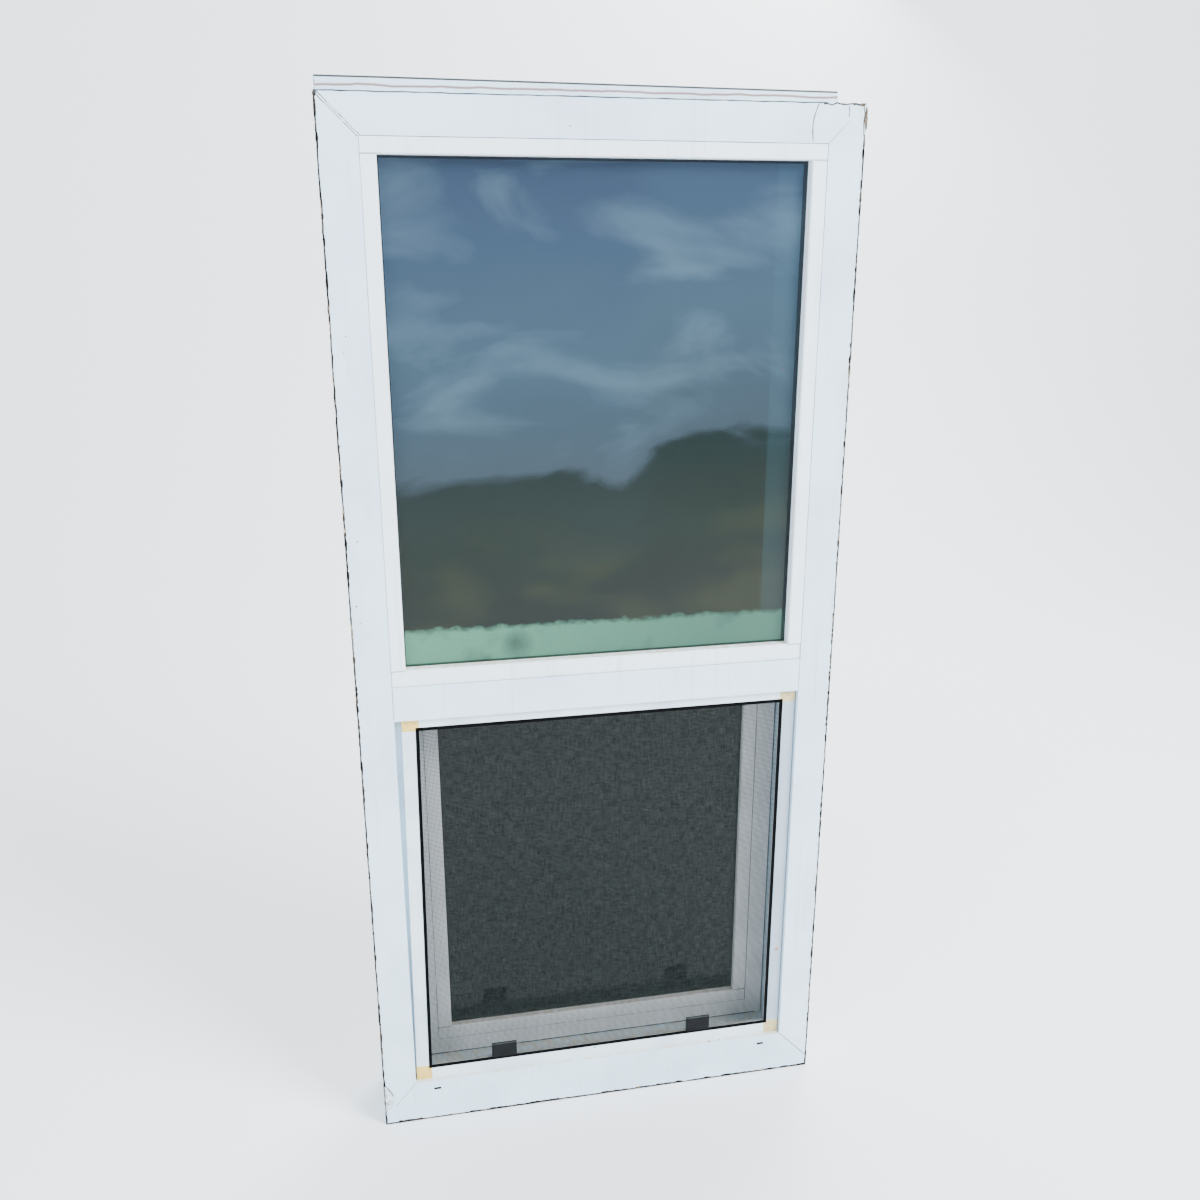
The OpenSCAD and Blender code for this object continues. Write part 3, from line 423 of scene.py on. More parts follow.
def mottled(name, tone, other, patch_mm, rough, bump_mm, metallic=0.0, ior=1.5, gloss=0.5):
    """A plain moulded, cast or plated surface: two tones in patches of one real size,
    with a fine grain of its own."""
    material, tree, shader, where = new_material(name)
    patches = add(tree, "TexNoise", Vector=where, Scale=1 / (patch_mm * MM), Detail=5.0)
    share = add(tree, "MapRange", Value=(patches, "Fac"), From_Min=0.35, From_Max=0.7)
    colour = add(tree, "Mix", IN_COLOUR, Factor=share, i6=tone, i7=other)
    grain = add(tree, "TexNoise", Vector=where, Scale=1 / (0.6 * MM), Detail=2.0)
    bump = add(tree, "Bump", Strength=0.3, Distance=bump_mm * MM, Height=grain)
    dull = add(tree, "MapRange", Value=(patches, "Fac"), To_Min=rough - 0.08, To_Max=rough + 0.12)
    plug(tree, shader, Base_Color=(colour, 2), Roughness=dull, Normal=bump, Metallic=metallic)
    if not metallic:
        plug(tree, shader, IOR=ior, Specular_IOR_Level=gloss)
    return material


def pile_weave():
    """Woven pile weatherstrip: dark grey polypropylene tufts, matt, 0.7 mm apart."""
    material, tree, shader, where = new_material("woven polypropylene pile")
    tufts = add(tree, "TexVoronoi", Vector=where, Scale=1 / (0.7 * MM))
    colour = add(tree, "Mix", IN_COLOUR, Factor=(tufts, "Distance"), i6="#5B5C5B", i7="#1F2020")
    bump = add(tree, "Bump", {"invert": True}, Strength=0.9, Distance=0.4 * MM,
               Height=(tufts, "Distance"))
    plug(tree, shader, Base_Color=(colour, 2), Normal=bump, Roughness=0.95, Sheen_Weight=0.4)
    return material


def bar_enamel(dust):
    """White enamel baked on roll-formed aluminium: a smooth, slightly bluish skin over
    long rolling marks, with dust on the ledges and a few rust-orange spots."""
    material, tree, shader, where = new_material("white enamel on rolled aluminium")
    broad = add(tree, "TexNoise", Vector=where, Scale=1 / (45 * MM), Detail=4.0)
    share = add(tree, "MapRange", Value=(broad, "Fac"), From_Min=0.4, From_Max=0.68, To_Max=0.7)
    base = add(tree, "Mix", IN_COLOUR, Factor=share, i6="#DCEBF2", i7="#B9CAD6")
    # Painted shade: the right bar is a duller blue-grey, as in the jamb's shadow
    place = add(tree, "SeparateXYZ", Vector=where)
    painted_shade_right = add(tree, "MapRange", Value=(place, "X"), From_Min=RIGHT_BAR * MM,
                    From_Max=(RIGHT_BAR + 1.5) * MM, To_Max=0.75)
    base = add(tree, "Mix", IN_COLOUR, Factor=painted_shade_right, i6=(base, 2), i7="#8195A3")
    spots = add(tree, "TexVoronoi", Vector=where, Scale=1 / (55 * MM))
    rust = add(tree, "MapRange", Value=(spots, "Distance"), From_Min=0.05, From_Max=0.03,
               To_Max=0.85)
    spotted = add(tree, "Mix", IN_COLOUR, Factor=rust, i6=(base, 2), i7="#A8683A")
    dusty = ledge_dust(tree, where, (spotted, 2), dust, 0.8)
    ripple = add(tree, "TexNoise", Vector=where, Scale=1 / (9 * MM), Detail=2.0)
    bump = add(tree, "Bump", Strength=0.35, Distance=0.2 * MM, Height=ripple)
    rough = add(tree, "MapRange", Value=(broad, "Fac"), To_Min=0.28, To_Max=0.45)
    plug(tree, shader, Base_Color=(dusty, 2), Roughness=rough, Normal=bump)
    return material


def yellowed_plastic():
    """Moulded nylon gone yellow in the sun, most at the left, dirty at the lower right."""
    material, tree, shader, where = new_material("sun-yellowed moulded nylon")
    place = add(tree, "SeparateXYZ", Vector=where)
    side = add(tree, "MapRange", Value=(place, "X"), From_Min=-0.22, From_Max=0.22)
    sun = add(tree, "Mix", IN_COLOUR, Factor=side, i6="#E6C260", i7="#C2B382")
    film = add(tree, "TexNoise", Vector=where, Scale=1 / (4 * MM), Detail=6.0)
    dirt = add(tree, "MapRange", Value=(film, "Fac"), From_Min=0.5, From_Max=0.75, To_Max=0.7)
    colour = add(tree, "Mix", IN_COLOUR, Factor=dirt, i6=(sun, 2), i7="#8C7B5C")
    bump = add(tree, "Bump", Strength=0.4, Distance=0.2 * MM, Height=film)
    plug(tree, shader, Base_Color=(colour, 2), Normal=bump, Roughness=0.5, IOR=1.53)
    return material


def dried_sealant():
    """Dried caulk and foam skin torn off with the wall: from nearly black through brown
    to cream, crusty and matt."""
    material, tree, shader, where = new_material("dried torn sealant")
    lumps = add(tree, "TexNoise", Vector=where, Scale=1 / (18 * MM), Detail=6.0, Roughness=0.75)
    colour = add(tree, "ValToRGB", {"stops": [
        (0.42, tint("#0B0A09")), (0.52, tint("#1E1A17")), (0.58, tint("#4A3F36")),
        (0.63, tint("#9C8D76")), (0.72, tint("#D9CFBC"))]}, Fac=lumps)
    crust = add(tree, "TexNoise", Vector=where, Scale=1 / (1.2 * MM), Detail=5.0)
    bump = add(tree, "Bump", Strength=0.9, Distance=0.5 * MM, Height=crust)
    plug(tree, shader, Base_Color=colour, Normal=bump, Roughness=0.9, Specular_IOR_Level=0.1)
    return material


def coated_yarn():
    """Glass-fibre yarn in a charcoal vinyl coat: a little shiny, with dust caught in
    streaks 11 mm long and 1.3 mm wide along both yarns."""
    material, tree, shader, where = new_material("vinyl-coated glass yarn")
    level = add(tree, "Mapping", Vector=where, Scale=(1 / (11 * MM), 1, 1 / (1.3 * MM)))
    upright = add(tree, "Mapping", Vector=where, Scale=(1 / (1.3 * MM), 1, 1 / (11 * MM)))
    weft = add(tree, "TexNoise", Vector=level, Scale=1.0, Detail=3.0)
    warp = add(tree, "TexNoise", Vector=upright, Scale=1.0, Detail=3.0)
    both = add(tree, "Math", {"operation": "ADD"}, i0=weft, i1=warp)
    dusty = add(tree, "MapRange", Value=both, From_Min=0.86, From_Max=1.2)
    colour = add(tree, "Mix", IN_COLOUR, Factor=dusty, i6="#161918", i7="#343937")
    plug(tree, shader, Base_Color=(colour, 2), Roughness=0.6, Specular_IOR_Level=0.08)
    return material


# ---- Pieces ----------------------------------------------------------------------------


def strand(bm, x0, x1, y0, y1, z0, z1):
    """One straight square yarn."""
    size = Matrix.Diagonal((x1 - x0, y1 - y0, z1 - z0, 1))
    middle = Matrix.Translation(((x0 + x1) / 2, (y0 + y1) / 2, (z0 + z1) / 2))
    bmesh.ops.create_cube(bm, size=1, matrix=middle @ size)


class SASH_OT_vinyl(bpy.types.Operator):
    """Finish the frame, the beads and the sash in weathered vinyl"""

    bl_idname = "sash_window.vinyl"
    bl_label = "Finish the vinyl"

    def execute(self, context):
        colours = context.scene.window_vinyl
        finish("frame_pvc", weathered_frame_vinyl(colours))
        finish("bead_pvc", clean_vinyl(
            "glossy extruded PVC bead", colours.bead_white, tint("#E2E9EE"), colours.dust, 0.36))
        finish("sash_pvc", clean_vinyl(
            "extruded PVC sash", colours.sash_white, tint("#CFCFCB"), colours.dust, 0.45))
        return {"FINISHED"}


class SASH_OT_glazing(bpy.types.Operator):
    """Finish the panes, the spacers, the setting blocks and the tape"""

    bl_idname = "sash_window.glazing"
    bl_label = "Finish the glazing"

    def execute(self, context):
        colours = context.scene.window_glass
        wear(frame["nodes"]["upper_pane_outer"], glass_with_painted_reflection(colours))
        inner = tinted_glass("low-emissivity float glass", tint("#7E9A92"), 1.0)
        wear(frame["nodes"]["upper_pane_inner"], inner)
        wear(frame["nodes"]["sash_pane_inner"], inner)
        wear(frame["nodes"]["sash_pane_outer"], tinted_glass("green float glass", tint("#182220"),
                                                             0.35))
        finish("spacer_aluminium", spacer_aluminium())
        finish("block_rubber", mottled(
            "moulded neoprene block", "#1B1B1B", "#262524", 6, 0.7, 0.1))
        finish("glazing_tape", mottled(
            "butyl glazing tape", "#6D7070", "#5A5C5B", 5, 0.75, 0.15))
        return {"FINISHED"}


class SASH_OT_hardware(bpy.types.Operator):
    """Finish the balances, the lock, the screws and the seals"""

    bl_idname = "sash_window.hardware"
    bl_label = "Finish the hardware"

    def execute(self, context):
        # Zinc plating is bright with a faint blue cast and dulls in patches
        finish("zinc_steel", mottled(
            "zinc-plated steel", "#B4B8BC", "#8E9193", 3, 0.34, 0.03, 1.0))
        # Die-cast zinc has a satin skin and soft pits
        finish("die_cast_zinc", mottled(
            "die-cast zinc", "#A9ABAC", "#8C8D8D", 5, 0.42, 0.06, 1.0))
        finish("lock_enamel", mottled(
            "white baked enamel", "#E9EAE8", "#DCDBD5", 14, 0.28, 0.02))
        finish("nylon", mottled(
            "moulded nylon", "#E4E1D6", "#D3CEBF", 7, 0.48, 0.05, ior=1.53))
        finish("tube_pvc", mottled(
            "extruded PVC tube", "#CFD1CF", "#BABCB9", 30, 0.45, 0.04, ior=1.53))
        finish("seal_rubber", mottled(
            "extruded rubber bulb", "#1A1A1A", "#2A2928", 5, 0.65, 0.1))
        finish("pile", pile_weave())
        return {"FINISHED"}


class SASH_OT_screen_frame(bpy.types.Operator):
    """Finish the screen's bars, corner keys, spline and pull tabs"""

    bl_idname = "sash_window.screen_frame"
    bl_label = "Finish the screen frame"

    def execute(self, context):
        finish("screen_bar_enamel", bar_enamel(context.scene.window_vinyl.dust))
        finish("key_plastic", yellowed_plastic())
        # Soft vinyl cord, nearly black and slightly greasy
        finish("spline_vinyl", mottled(
            "soft vinyl spline", "#020202", "#070707", 4, 0.6, 0.08, gloss=0.05))
        tab = mottled("moulded vinyl tab", "#0C0D0E", "#141617", 9, 0.5, 0.05, gloss=0.1)
        finish("tab_vinyl", tab)
        low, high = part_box("screen_pull_tabs")
        width = 29 * MM
        bm = bmesh.new()
        for left in (low.x, high.x - width):
            turned = Matrix.Translation((left + width / 2, low.y + 0.2 * MM, high.z - 0.9 * MM))
            bmesh.ops.create_cone(
                bm, cap_ends=True, segments=12, radius1=0.9 * MM, radius2=0.9 * MM,
                depth=width, matrix=turned @ Matrix.Rotation(math.pi / 2, 4, "Y"))
        lip = mottled("worn vinyl lip", "#34383A", "#222526", 5, 0.5, 0.05, gloss=0.2)
        make_piece("pull_tab_lips", bm, lip, "frame")
        return {"FINISHED"}


class SASH_OT_insect_mesh(bpy.types.Operator):
    """Weave the insect mesh, yarn by yarn, inside the screen's frame"""

    bl_idname = "sash_window.insect_mesh"
    bl_label = "Weave the insect mesh"

    def execute(self, context):
        sizes = context.scene.window_screen
        low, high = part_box("screen_mesh")
        yarn = sizes.strand
        bm = bmesh.new()
        x = low.x + sizes.pitch_across / 2
        while x < high.x - yarn:
            strand(bm, x, x + yarn, low.y, low.y + yarn, low.z, high.z)
            x += sizes.pitch_across
        z = low.z + sizes.pitch_up / 2
        while z < high.z - yarn:
            strand(bm, low.x, high.x, high.y - yarn, high.y, z, z + yarn)
            z += sizes.pitch_up
        height = high.z - low.z
        bar_low, bar_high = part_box("screen_bar_left")
        lean = sizes.lean * height / (bar_high.z - bar_low.z)
        cut = bmesh.ops.bisect_plane(
            bm, geom=bm.verts[:] + bm.edges[:] + bm.faces[:],
            plane_co=(low.x, 0, low.z), plane_no=(-height, 0, lean), clear_outer=True)
        rims = [e for e in cut["geom_cut"] if isinstance(e, bmesh.types.BMEdge)]
        bmesh.ops.holes_fill(bm, edges=rims, sides=4)
        mesh = make_piece("insect_mesh", bm, coated_yarn(), "frame")
        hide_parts("screen_mesh")
        return {"FINISHED"}


class SASH_OT_sealant(bpy.types.Operator):
    """Leave dried sealant in ragged lumps along the frame's outer edges"""

    bl_idname = "sash_window.sealant"
    bl_label = "Leave dried sealant"

    def execute(self, context):
        marks = context.scene.window_marks
        low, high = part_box("frame_jamb_left")
        half, top, face = -low.x, high.z, low.y
        pick = random.Random(7)
        bm = bmesh.new()
        edges = [
            (Vector((-half, face, 2 * MM)), Vector((-half, face, top)), 0.95),
            (Vector((half, face, 2 * MM)), Vector((half, face, top - 30 * MM)), 0.95),
            (Vector((-half, face, 1.2 * MM)), Vector((half, face, 1.2 * MM)), 0.97),
        ]
        for start, end, cover in edges:
            along = (end - start).normalized()
            length = (end - start).length
            inward = Vector((-start.x, 0, 0)).normalized() if along.z else Vector((0, 0, 1))
            at = 0.0
            while at < length:
                reach = marks.sealant_step * pick.uniform(0.8, 2.6)
                if pick.random() < cover:
                    wide = marks.sealant_width * pick.uniform(0.25, 0.8)
                    thick = pick.uniform(0.25, 0.8) * MM
                    middle = (start + along * min(at + reach / 2, length - reach / 2)
                              + inward * (wide * 0.4))
                    lump = bmesh.ops.create_icosphere(bm, subdivisions=2, radius=1)["verts"]
                    for v in lump:
                        bend = 1 + 0.45 * noise.noise(v.co * 2.1 + Vector((at * 90, wide * 900, 3)))
                        v.co = middle + bend * (
                            along * v.co.x * reach * 0.55 + inward * v.co.z * wide * 0.7
                            + Vector((0, v.co.y * thick, 0)))
                at += reach
        make_piece("sealant_residue", bm, dried_sealant(), "frame")
        return {"FINISHED"}


def ribbon(bm, points, widths, y):
    """A flat strip through points in X and Z in mm, drawn out from its first edge."""
    for i, (x, z) in enumerate(points):
        before, after = points[max(i - 1, 0)], points[min(i + 1, len(points) - 1)]
        run = Vector((after[0] - before[0], 0, after[1] - before[1])).normalized()
        across = Vector((-run.z, 0, run.x)) * widths[i] * MM / 2
        middle = Vector((x * MM, y, z * MM))
        if i == 0:
            pair = [bm.verts.new(middle + across), bm.verts.new(middle - across)]
            edge = bm.edges.new(pair)
        else:
            made = bmesh.ops.extrude_edge_only(bm, edges=[edge])["geom"]
            edge = next(e for e in made if isinstance(e, bmesh.types.BMEdge))
            pair = sorted(edge.verts, key=lambda v: (v.co - last).length)
            pair[0].co, pair[1].co = middle + across, middle - across
        last = pair[0].co.copy()


def line(start, end, count, stray, pick):
    """Points in mm from start to end that stray a little from the straight."""
    return [(start[0] + (end[0] - start[0]) * i / count + pick.uniform(-stray, stray),
             start[1] + (end[1] - start[1]) * i / count + pick.uniform(-stray, stray))
            for i in range(count + 1)]


def make_strips(name, strips, y, material, body="frame"):
    """One piece of several ribbons, each a list of points and its width in mm."""
    bm = bmesh.new()
    pick = random.Random(len(name))
    for points, wide in strips:
        ribbon(bm, points, [wide * pick.uniform(0.7, 1.2) for _ in points], y)
    bmesh.ops.solidify(bm, geom=bm.faces[:], thickness=0.04 * MM)
    return make_piece(name, bm, material, body)


class SASH_OT_weather_marks(bpy.types.Operator):
    """Mark the mitres, the seams, the cracks, the gouge and the torn corner"""

    bl_idname = "sash_window.weather_marks"
    bl_label = "Mark the weathering"

    def execute(self, context):
        low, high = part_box("frame_jamb_left")
        half, top, face = -low.x / MM, high.z / MM, low.y
        inner, head, sill = half - FACE_W, top - FACE_W, SILL_FACE
        skin = face - 0.05 * MM
        pick = random.Random(11)

        # The weld at the top left is a pale ridge in a grey groove, and the others are faint
        make_strips("mitre_grooves", [
            (line((-half + 1, top - 1), (-inner, head), 14, 0.1, pick), 3.0),
            (line((half - 17, top - 17), (inner, head), 8, 0.1, pick), 0.4),
            (line((-half + 12, 24), (-inner, sill), 10, 0.1, pick), 0.5),
            (line((half - 2, 16), (inner, sill), 14, 0.1, pick), 0.8),
        ], skin, mottled("shade in a weld groove", "#39424D", "#56606B", 4, 0.8, 0.05, gloss=0.1))
        make_strips("mitre_ridge", [
            (line((-half + 3, top - 3), (-inner, head), 14, 0.05, pick), 1.3),
        ], skin - 0.05 * MM, mottled("weld flash", "#F3F7FB", "#E2E9F0", 4, 0.5, 0.05))

        # Seams round the beads: the top bead runs through, and the side beads butt against it
        bead_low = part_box("upper_bead_bottom")
        bead_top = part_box("upper_bead_top")
        edge_x, edge_z = bead_top[1].x / MM, bead_top[1].z / MM
        joint_z = bead_top[0].z / MM
        under_z, foot_z = bead_low[0].z / MM, bead_low[1].z / MM
        make_strips("bead_seams", [
            (line((-edge_x, edge_z), (edge_x, edge_z), 30, 0.05, pick), 0.6),
            (line((edge_x, edge_z), (edge_x, under_z), 30, 0.05, pick), 0.55),
            (line((-edge_x, edge_z), (-edge_x, under_z), 30, 0.05, pick), 0.4),
            (line((-edge_x, joint_z), (-edge_x + 15, joint_z), 4, 0.05, pick), 0.45),
            (line((edge_x, joint_z - 0.8), (edge_x - 15, joint_z), 4, 0.05, pick), 0.45),
            (line((-edge_x, under_z), (edge_x, under_z), 30, 0.05, pick), 0.4),
            (line((-inner, under_z), (-inner, SCREEN_TOP), 10, 0.05, pick), 0.45),
            (line((inner, under_z), (inner, SCREEN_TOP), 10, 0.05, pick), 0.45),
            (line((-edge_x, foot_z), (-edge_x + 15, foot_z), 4, 0.05, pick), 0.35),
            (line((edge_x, foot_z), (edge_x - 15, foot_z), 4, 0.05, pick), 0.35),
        ], skin, mottled("dirt in a seam", "#2E353E", "#505963", 9, 0.8, 0.05, gloss=0.1))

        # Seams of the sash: beads against the stiles and rails, and the joints at the corners
        stile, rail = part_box("sash_bead_left"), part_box("sash_bead_bottom")
        out_x, out_z = -stile[0].x / MM, rail[0].z / MM
        in_x, in_z = -stile[1].x / MM, rail[1].z / MM
        high_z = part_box("sash_bead_top")[0].z / MM
        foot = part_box("sash_bottom_rail")
        front = foot[0].y
        seam_y = stile[0].y - 0.05 * MM
        shade = mottled("dirt in sash seams and painted shadow under the sash", "#30353A", "#4C5257", 9, 0.8, 0.05, gloss=0.1)
        make_strips("sash_seams", [
            (line((-out_x, out_z), (out_x, out_z), 30, 0.05, pick), 0.7),
            (line((-out_x, high_z), (-out_x, out_z), 30, 0.05, pick), 0.7),
            (line((out_x, high_z), (out_x, out_z), 30, 0.05, pick), 0.55),
            (line((-out_x, in_z), (-in_x, in_z), 4, 0.05, pick), 0.5),
            (line((out_x, in_z), (in_x, in_z), 4, 0.05, pick), 0.5),
        ], seam_y, shade, "sash")
        # Painted shadow: a dark line along the sash's foot, where the sash shades the ledge
        low_z = foot[0].z / MM
        make_strips("sash_foot_line", [
            (line((-out_x - 14, low_z + 0.7), (out_x + 14, low_z + 0.7), 60, 0.1, pick), 1.2),
        ], front - 0.05 * MM, shade, "sash")

        # Pale cream dust lies with grit on the sill's floor between the screen and the sash; its
        # paleness is partly painted sunlight on the ledge
        bm = bmesh.new()
        bmesh.ops.create_grid(bm, x_segments=150, y_segments=14, size=1)
        floor_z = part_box("sash_bottom_seal")[0].z / MM
        half_x, half_y, middle_y = 212, 16.5, -10.5
        for v in bm.verts:
            heap = 0.25 + 0.25 * noise.noise(Vector((v.co.x * 60, v.co.y * 5, 1.5)))
            v.co = Vector((v.co.x * half_x, middle_y + v.co.y * half_y, floor_z + heap)) * MM
        bmesh.ops.solidify(bm, geom=bm.faces[:], thickness=0.15 * MM)
        make_piece("sill_dust_and_painted_sunlight", bm, mottled(
            "dust and grit, paled as painted sunlight", "#FDF3D8", "#D3C5A4", 7, 0.95, 0.3, gloss=0.1), "frame")

        # The weather line along the top edge of the head
        make_strips("head_edge_line", [
            (line((-half, top - 0.5), (half - 40, top - 0.5), 60, 0.25, pick), 1.1),
        ], skin, mottled("dirt on an edge", "#17171F", "#4A4B55", 20, 0.8, 0.05, gloss=0.1))

        # Grime where the wall's lining met the frame
        make_strips("edge_grime", [
            (line((-half + 0.5, 1), (-half + 0.5, top - 2), 180, 0.4, pick), 1.7),
            (line((half - 0.5, 1), (half - 0.5, top - 34), 180, 0.4, pick), 1.4),
            (line((-half, 0.8), (half, 0.8), 90, 0.4, pick), 1.7),
        ], skin, mottled("grime of the wall's edge", "#060505", "#352C25", 9, 0.9, 0.1, gloss=0.1))

        # The head's broken end is a wavering crack
        torn, torn_end = [], half - 3
        x = half - 44
        while x < torn_end:
            step = pick.uniform(3, 6)
            torn.append((x, top - 1.2 + 1.3 * math.sin(x * 1.7)))
            x += step
        make_strips("hairline_cracks", [
            ([(211.5, 1116.3), (209.3, 1111), (207.2, 1104), (206.2, 1097), (206.4, 1090),
              (207.4, 1082.5)], 0.95),
            ([(242, 1114.5), (243.2, 1110), (242.6, 1105)], 0.7),
            (torn, 1.3),
            ([(half - 3, top - 2), (half - 1.6, top - 9), (half - 2.2, top - 17),
              (half - 1.2, top - 30)], 0.9),
        ], skin, mottled("dirt in a crack", "#121417", "#332F2B", 3, 0.85, 0.05, gloss=0.1))

        # A lens-shaped sliver of the face is gouged loose near the sill and curls off it
        bm = bmesh.new()
        bmesh.ops.create_grid(bm, x_segments=8, y_segments=24, size=1)
        widest, tall, foot_z = 9.5, 36, 19
        for v in bm.verts:
            along = (v.co.y + 1) / 2
            across = (v.co.x + 1) / 2
            width = widest * math.sin(math.pi * along ** 0.8) + 0.4
            rise = 1.5 * math.sin(math.pi * across) * math.sin(math.pi * along) ** 0.7
            v.co = Vector((
                (-half + 0.6 + width * across) * MM, face - (0.15 + rise) * MM,
                (foot_z + tall * along) * MM))
        bmesh.ops.solidify(bm, geom=bm.faces[:], thickness=0.12 * MM)
        for f in bm.faces:
            f.smooth = True
        # Its darker second tone, in patches, is painted shade inside the curl
        make_piece("gouged_sliver", bm, mottled(
            "torn PVC skin with painted shade", "#EDF3F7", "#98A2AC", 5, 0.5, 0.1), "frame")
        make_strips("gouge_outline", [
            ([(-half + 1, 55.5), (-half + 5.5, 49), (-half + 9.6, 41), (-half + 9.9, 34),
              (-half + 6.8, 26), (-half + 1.5, 18.5)], 1.0),
        ], skin, mottled("shade under torn skin", "#14171A", "#33383C", 5, 0.8, 0.05, gloss=0.1))

        # Beige filler clings to the outer side of the chipped corner
        bm = bmesh.new()
        for x, z, wide, tall in (
            (half - 0.4, 1101, 2.6, 9), (half - 0.2, 1110, 2.2, 5), (half - 4, top - 1.6, 4, 1.7),
            (half - 13, top - 1.2, 5, 1.4), (half - 25, top - 1, 4, 1.2),
        ):
            knob = bmesh.ops.create_icosphere(bm, subdivisions=3, radius=1)["verts"]
            for v in knob:
                bend = 1 + 0.35 * noise.noise(v.co * 1.8 + Vector((x, z, 0)))
                v.co = Vector((x * MM, face + 1.4 * MM, z * MM)) + Vector(
                    (v.co.x * wide, v.co.y * 1.8, v.co.z * tall)) * bend * MM
        make_piece("corner_filler", bm, mottled(
            "dried filler", "#746858", "#2A221C", 4, 0.85, 0.2, gloss=0.1), "frame")

        # Small rust-brown and grey specks
        bm = bmesh.new()
        for x, z, size in (
            (-half + 7, 640, 0.9), (-half + 9.5, 622, 0.7), (-half + 12, 707, 0.8),
            (-10.8, 69, 1.0), (132.6, 55, 1.1), (145.6, 55.4, 0.9), (-31, 1092, 0.7),
            (188, 866, 0.6), (80, 20, 0.6), (-140, 31, 0.6), (244, 508, 0.5),
            (-246, 905, 0.7), (-249, 890, 0.6), (34, 556, 0.5),
        ):
            spot = Matrix.Translation((x * MM, skin, z * MM)) @ Matrix.Rotation(math.pi / 2, 4, "X")
            bmesh.ops.create_circle(bm, cap_ends=True, segments=10, radius=size * MM, matrix=spot)
        bmesh.ops.solidify(bm, geom=bm.faces[:], thickness=0.04 * MM)
        make_piece("rust_specks", bm, mottled(
            "rust stain", "#5A3A30", "#7C5B4E", 2, 0.85, 0.05, gloss=0.1), "frame")

        # Black flaps hang inside the two weep slots and keep insects out
        bm = bmesh.new()
        size = Matrix.Diagonal((8.4 * MM, 0.5 * MM, 2.7 * MM, 1))
        for slot in WEEP_SLOTS:
            middle = Matrix.Translation(((slot - half) * MM, face + 0.2 * MM, WEEP_Z * MM))
            bmesh.ops.create_cube(bm, size=1, matrix=middle @ size)
        bmesh.ops.bevel(bm, geom=bm.edges[:], offset=0.15 * MM, offset_type="OFFSET",
                        affect="EDGES", segments=1, profile=0.5, material=-1)
        make_piece("weep_flaps", bm, mottled(
            "black vinyl flap", "#020202", "#080706", 3, 0.8, 0.05, gloss=0.02),
            "frame")
        return {"FINISHED"}


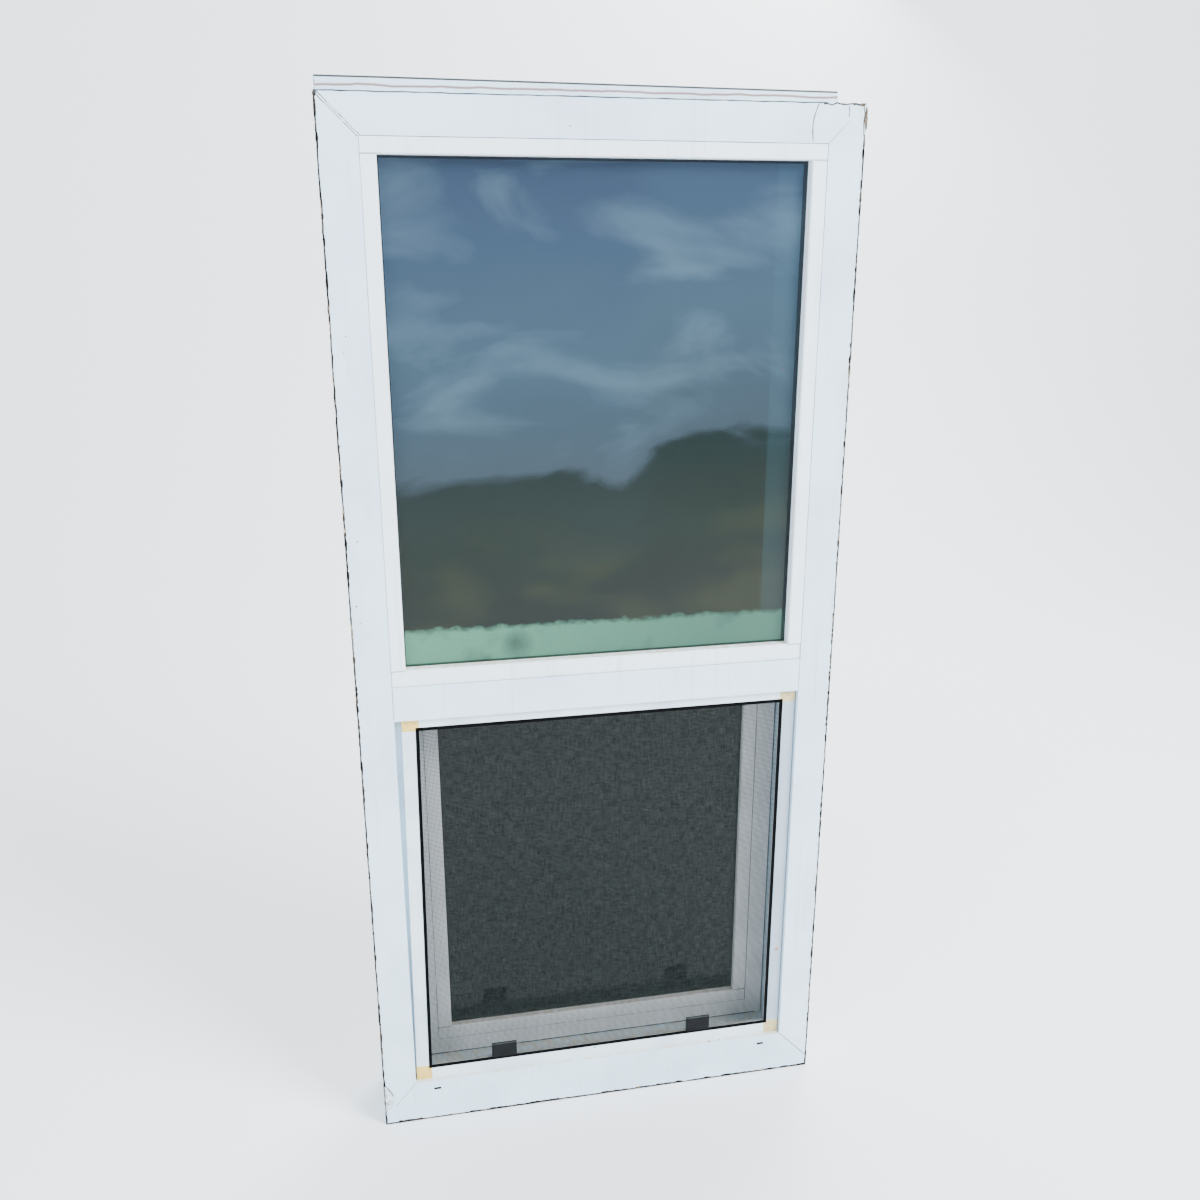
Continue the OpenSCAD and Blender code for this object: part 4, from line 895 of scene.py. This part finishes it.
class SASH_OT_studio(bpy.types.Operator):
    """Build the floor, the backdrop, the lights and the camera"""

    bl_idname = "sash_window.studio"
    bl_label = "Build the studio"

    def execute(self, context):
        studio = context.scene.window_studio
        # A floor that sweeps up into a backdrop
        bm = bmesh.new()
        left, width, front, back, rise, bend, steps = -6, 12, -5, 2.4, 3.2, 0.9, 12
        profile = [bm.verts.new((left, front, 0)), bm.verts.new((left, back - bend, 0))]
        for i in range(1, steps + 1):
            turn = math.pi / 2 * i / steps
            profile.append(bm.verts.new(
                (left, back - bend + bend * math.sin(turn), bend - bend * math.cos(turn))))
        profile.append(bm.verts.new((left, back, rise)))
        lines = [bm.edges.new(pair) for pair in zip(profile, profile[1:])]
        side = bmesh.ops.extrude_edge_only(bm, edges=lines)["geom"]
        bmesh.ops.translate(bm, vec=(width, 0, 0),
                            verts=[v for v in side if isinstance(v, bmesh.types.BMVert)])
        for face in bm.faces:
            face.smooth = True
        mesh = bpy.data.meshes.new("studio_floor")
        bm.to_mesh(mesh)
        bm.free()
        floor = bpy.data.objects.new("studio_floor", mesh)
        context.scene.collection.objects.link(floor)
        paper, tree, shader, _ = new_material("matt studio paper")
        plug(tree, shader, Base_Color=studio.floor_tone, Roughness=0.9)
        wear(floor, paper)

        lamps = [
            ("key light", (2.1, -2.0, 3.0), 1.5, studio.key_power, tint("#F6FAFF")),
            ("fill light", (-2.2, -2.3, 1.6), 2.2, studio.key_power * 0.35, tint("#EAF3FF")),
            ("back light", (1.2, 1.9, 2.4), 1.4, studio.key_power * 0.3, tint("#FFFFFF")),
        ]
        for name, place, size, power, colour in lamps:
            lamp = bpy.data.lights.new(name, "AREA")
            lamp.size, lamp.energy, lamp.color = size, power, colour[:3]
            held = bpy.data.objects.new(name, lamp)
            held.location = place
            aim = Vector((0, 0, 0.55)) - Vector(place)
            held.rotation_euler = aim.to_track_quat("-Z", "Y").to_euler()
            context.scene.collection.objects.link(held)

        world = bpy.data.worlds.new("studio surround")
        world.use_nodes = True
        surround = world.node_tree.nodes["Background"]
        plug(world.node_tree, surround, Color="#E6EEF8", Strength=studio.sky_strength)
        context.scene.world = world

        lens = bpy.data.cameras.new("studio camera")
        lens.lens, lens.sensor_width = studio.lens, 36
        lens.clip_start, lens.clip_end = 0.05, 50
        camera = bpy.data.objects.new("studio camera", lens)
        # The lens stands 1.14 m in front, 0.22 m to the left, and looks a little down
        camera.location = (-0.21984, -1.13549, 0.97879)
        camera.rotation_euler = (1.268884, 0.001246, -0.195781)
        context.scene.collection.objects.link(camera)
        context.scene.camera = camera
        return {"FINISHED"}


class SASH_PT_window(bpy.types.Panel):
    bl_idname = "SASH_PT_window"
    bl_label = "Sash Window"
    bl_space_type = "VIEW_3D"
    bl_region_type = "UI"
    bl_category = "Window"

    def draw(self, context):
        for operator in OPERATORS:
            self.layout.operator(operator.bl_idname)
        for name, _ in SETTINGS:
            box = self.layout.box()
            group = getattr(context.scene, name)
            for key in group.bl_rna.properties.keys():
                if key not in ("rna_type", "name"):
                    box.prop(group, key)


SETTINGS = [
    ("window_vinyl", VinylColours),
    ("window_glass", GlassColours),
    ("window_screen", ScreenSizes),
    ("window_marks", WeatherMarks),
    ("window_studio", Studio),
]
OPERATORS = [
    SASH_OT_studio,
    SASH_OT_vinyl,
    SASH_OT_glazing,
    SASH_OT_hardware,
    SASH_OT_screen_frame,
    SASH_OT_insect_mesh,
    SASH_OT_sealant,
    SASH_OT_weather_marks,
]


def register():
    for name, group in SETTINGS:
        bpy.utils.register_class(group)
        setattr(bpy.types.Scene, name, bpy.props.PointerProperty(type=group))
    for operator in OPERATORS:
        bpy.utils.register_class(operator)
    bpy.utils.register_class(SASH_PT_window)


def unregister():
    bpy.utils.unregister_class(SASH_PT_window)
    for operator in reversed(OPERATORS):
        bpy.utils.unregister_class(operator)
    for name, group in reversed(SETTINGS):
        delattr(bpy.types.Scene, name)
        bpy.utils.unregister_class(group)


def main():
    register()
    bpy.ops.sash_window.studio()
    bpy.ops.sash_window.vinyl()
    bpy.ops.sash_window.glazing()
    bpy.ops.sash_window.hardware()
    bpy.ops.sash_window.screen_frame()
    bpy.ops.sash_window.insect_mesh()
    bpy.ops.sash_window.sealant()
    bpy.ops.sash_window.weather_marks()


if __name__ == "__main__":
    main()
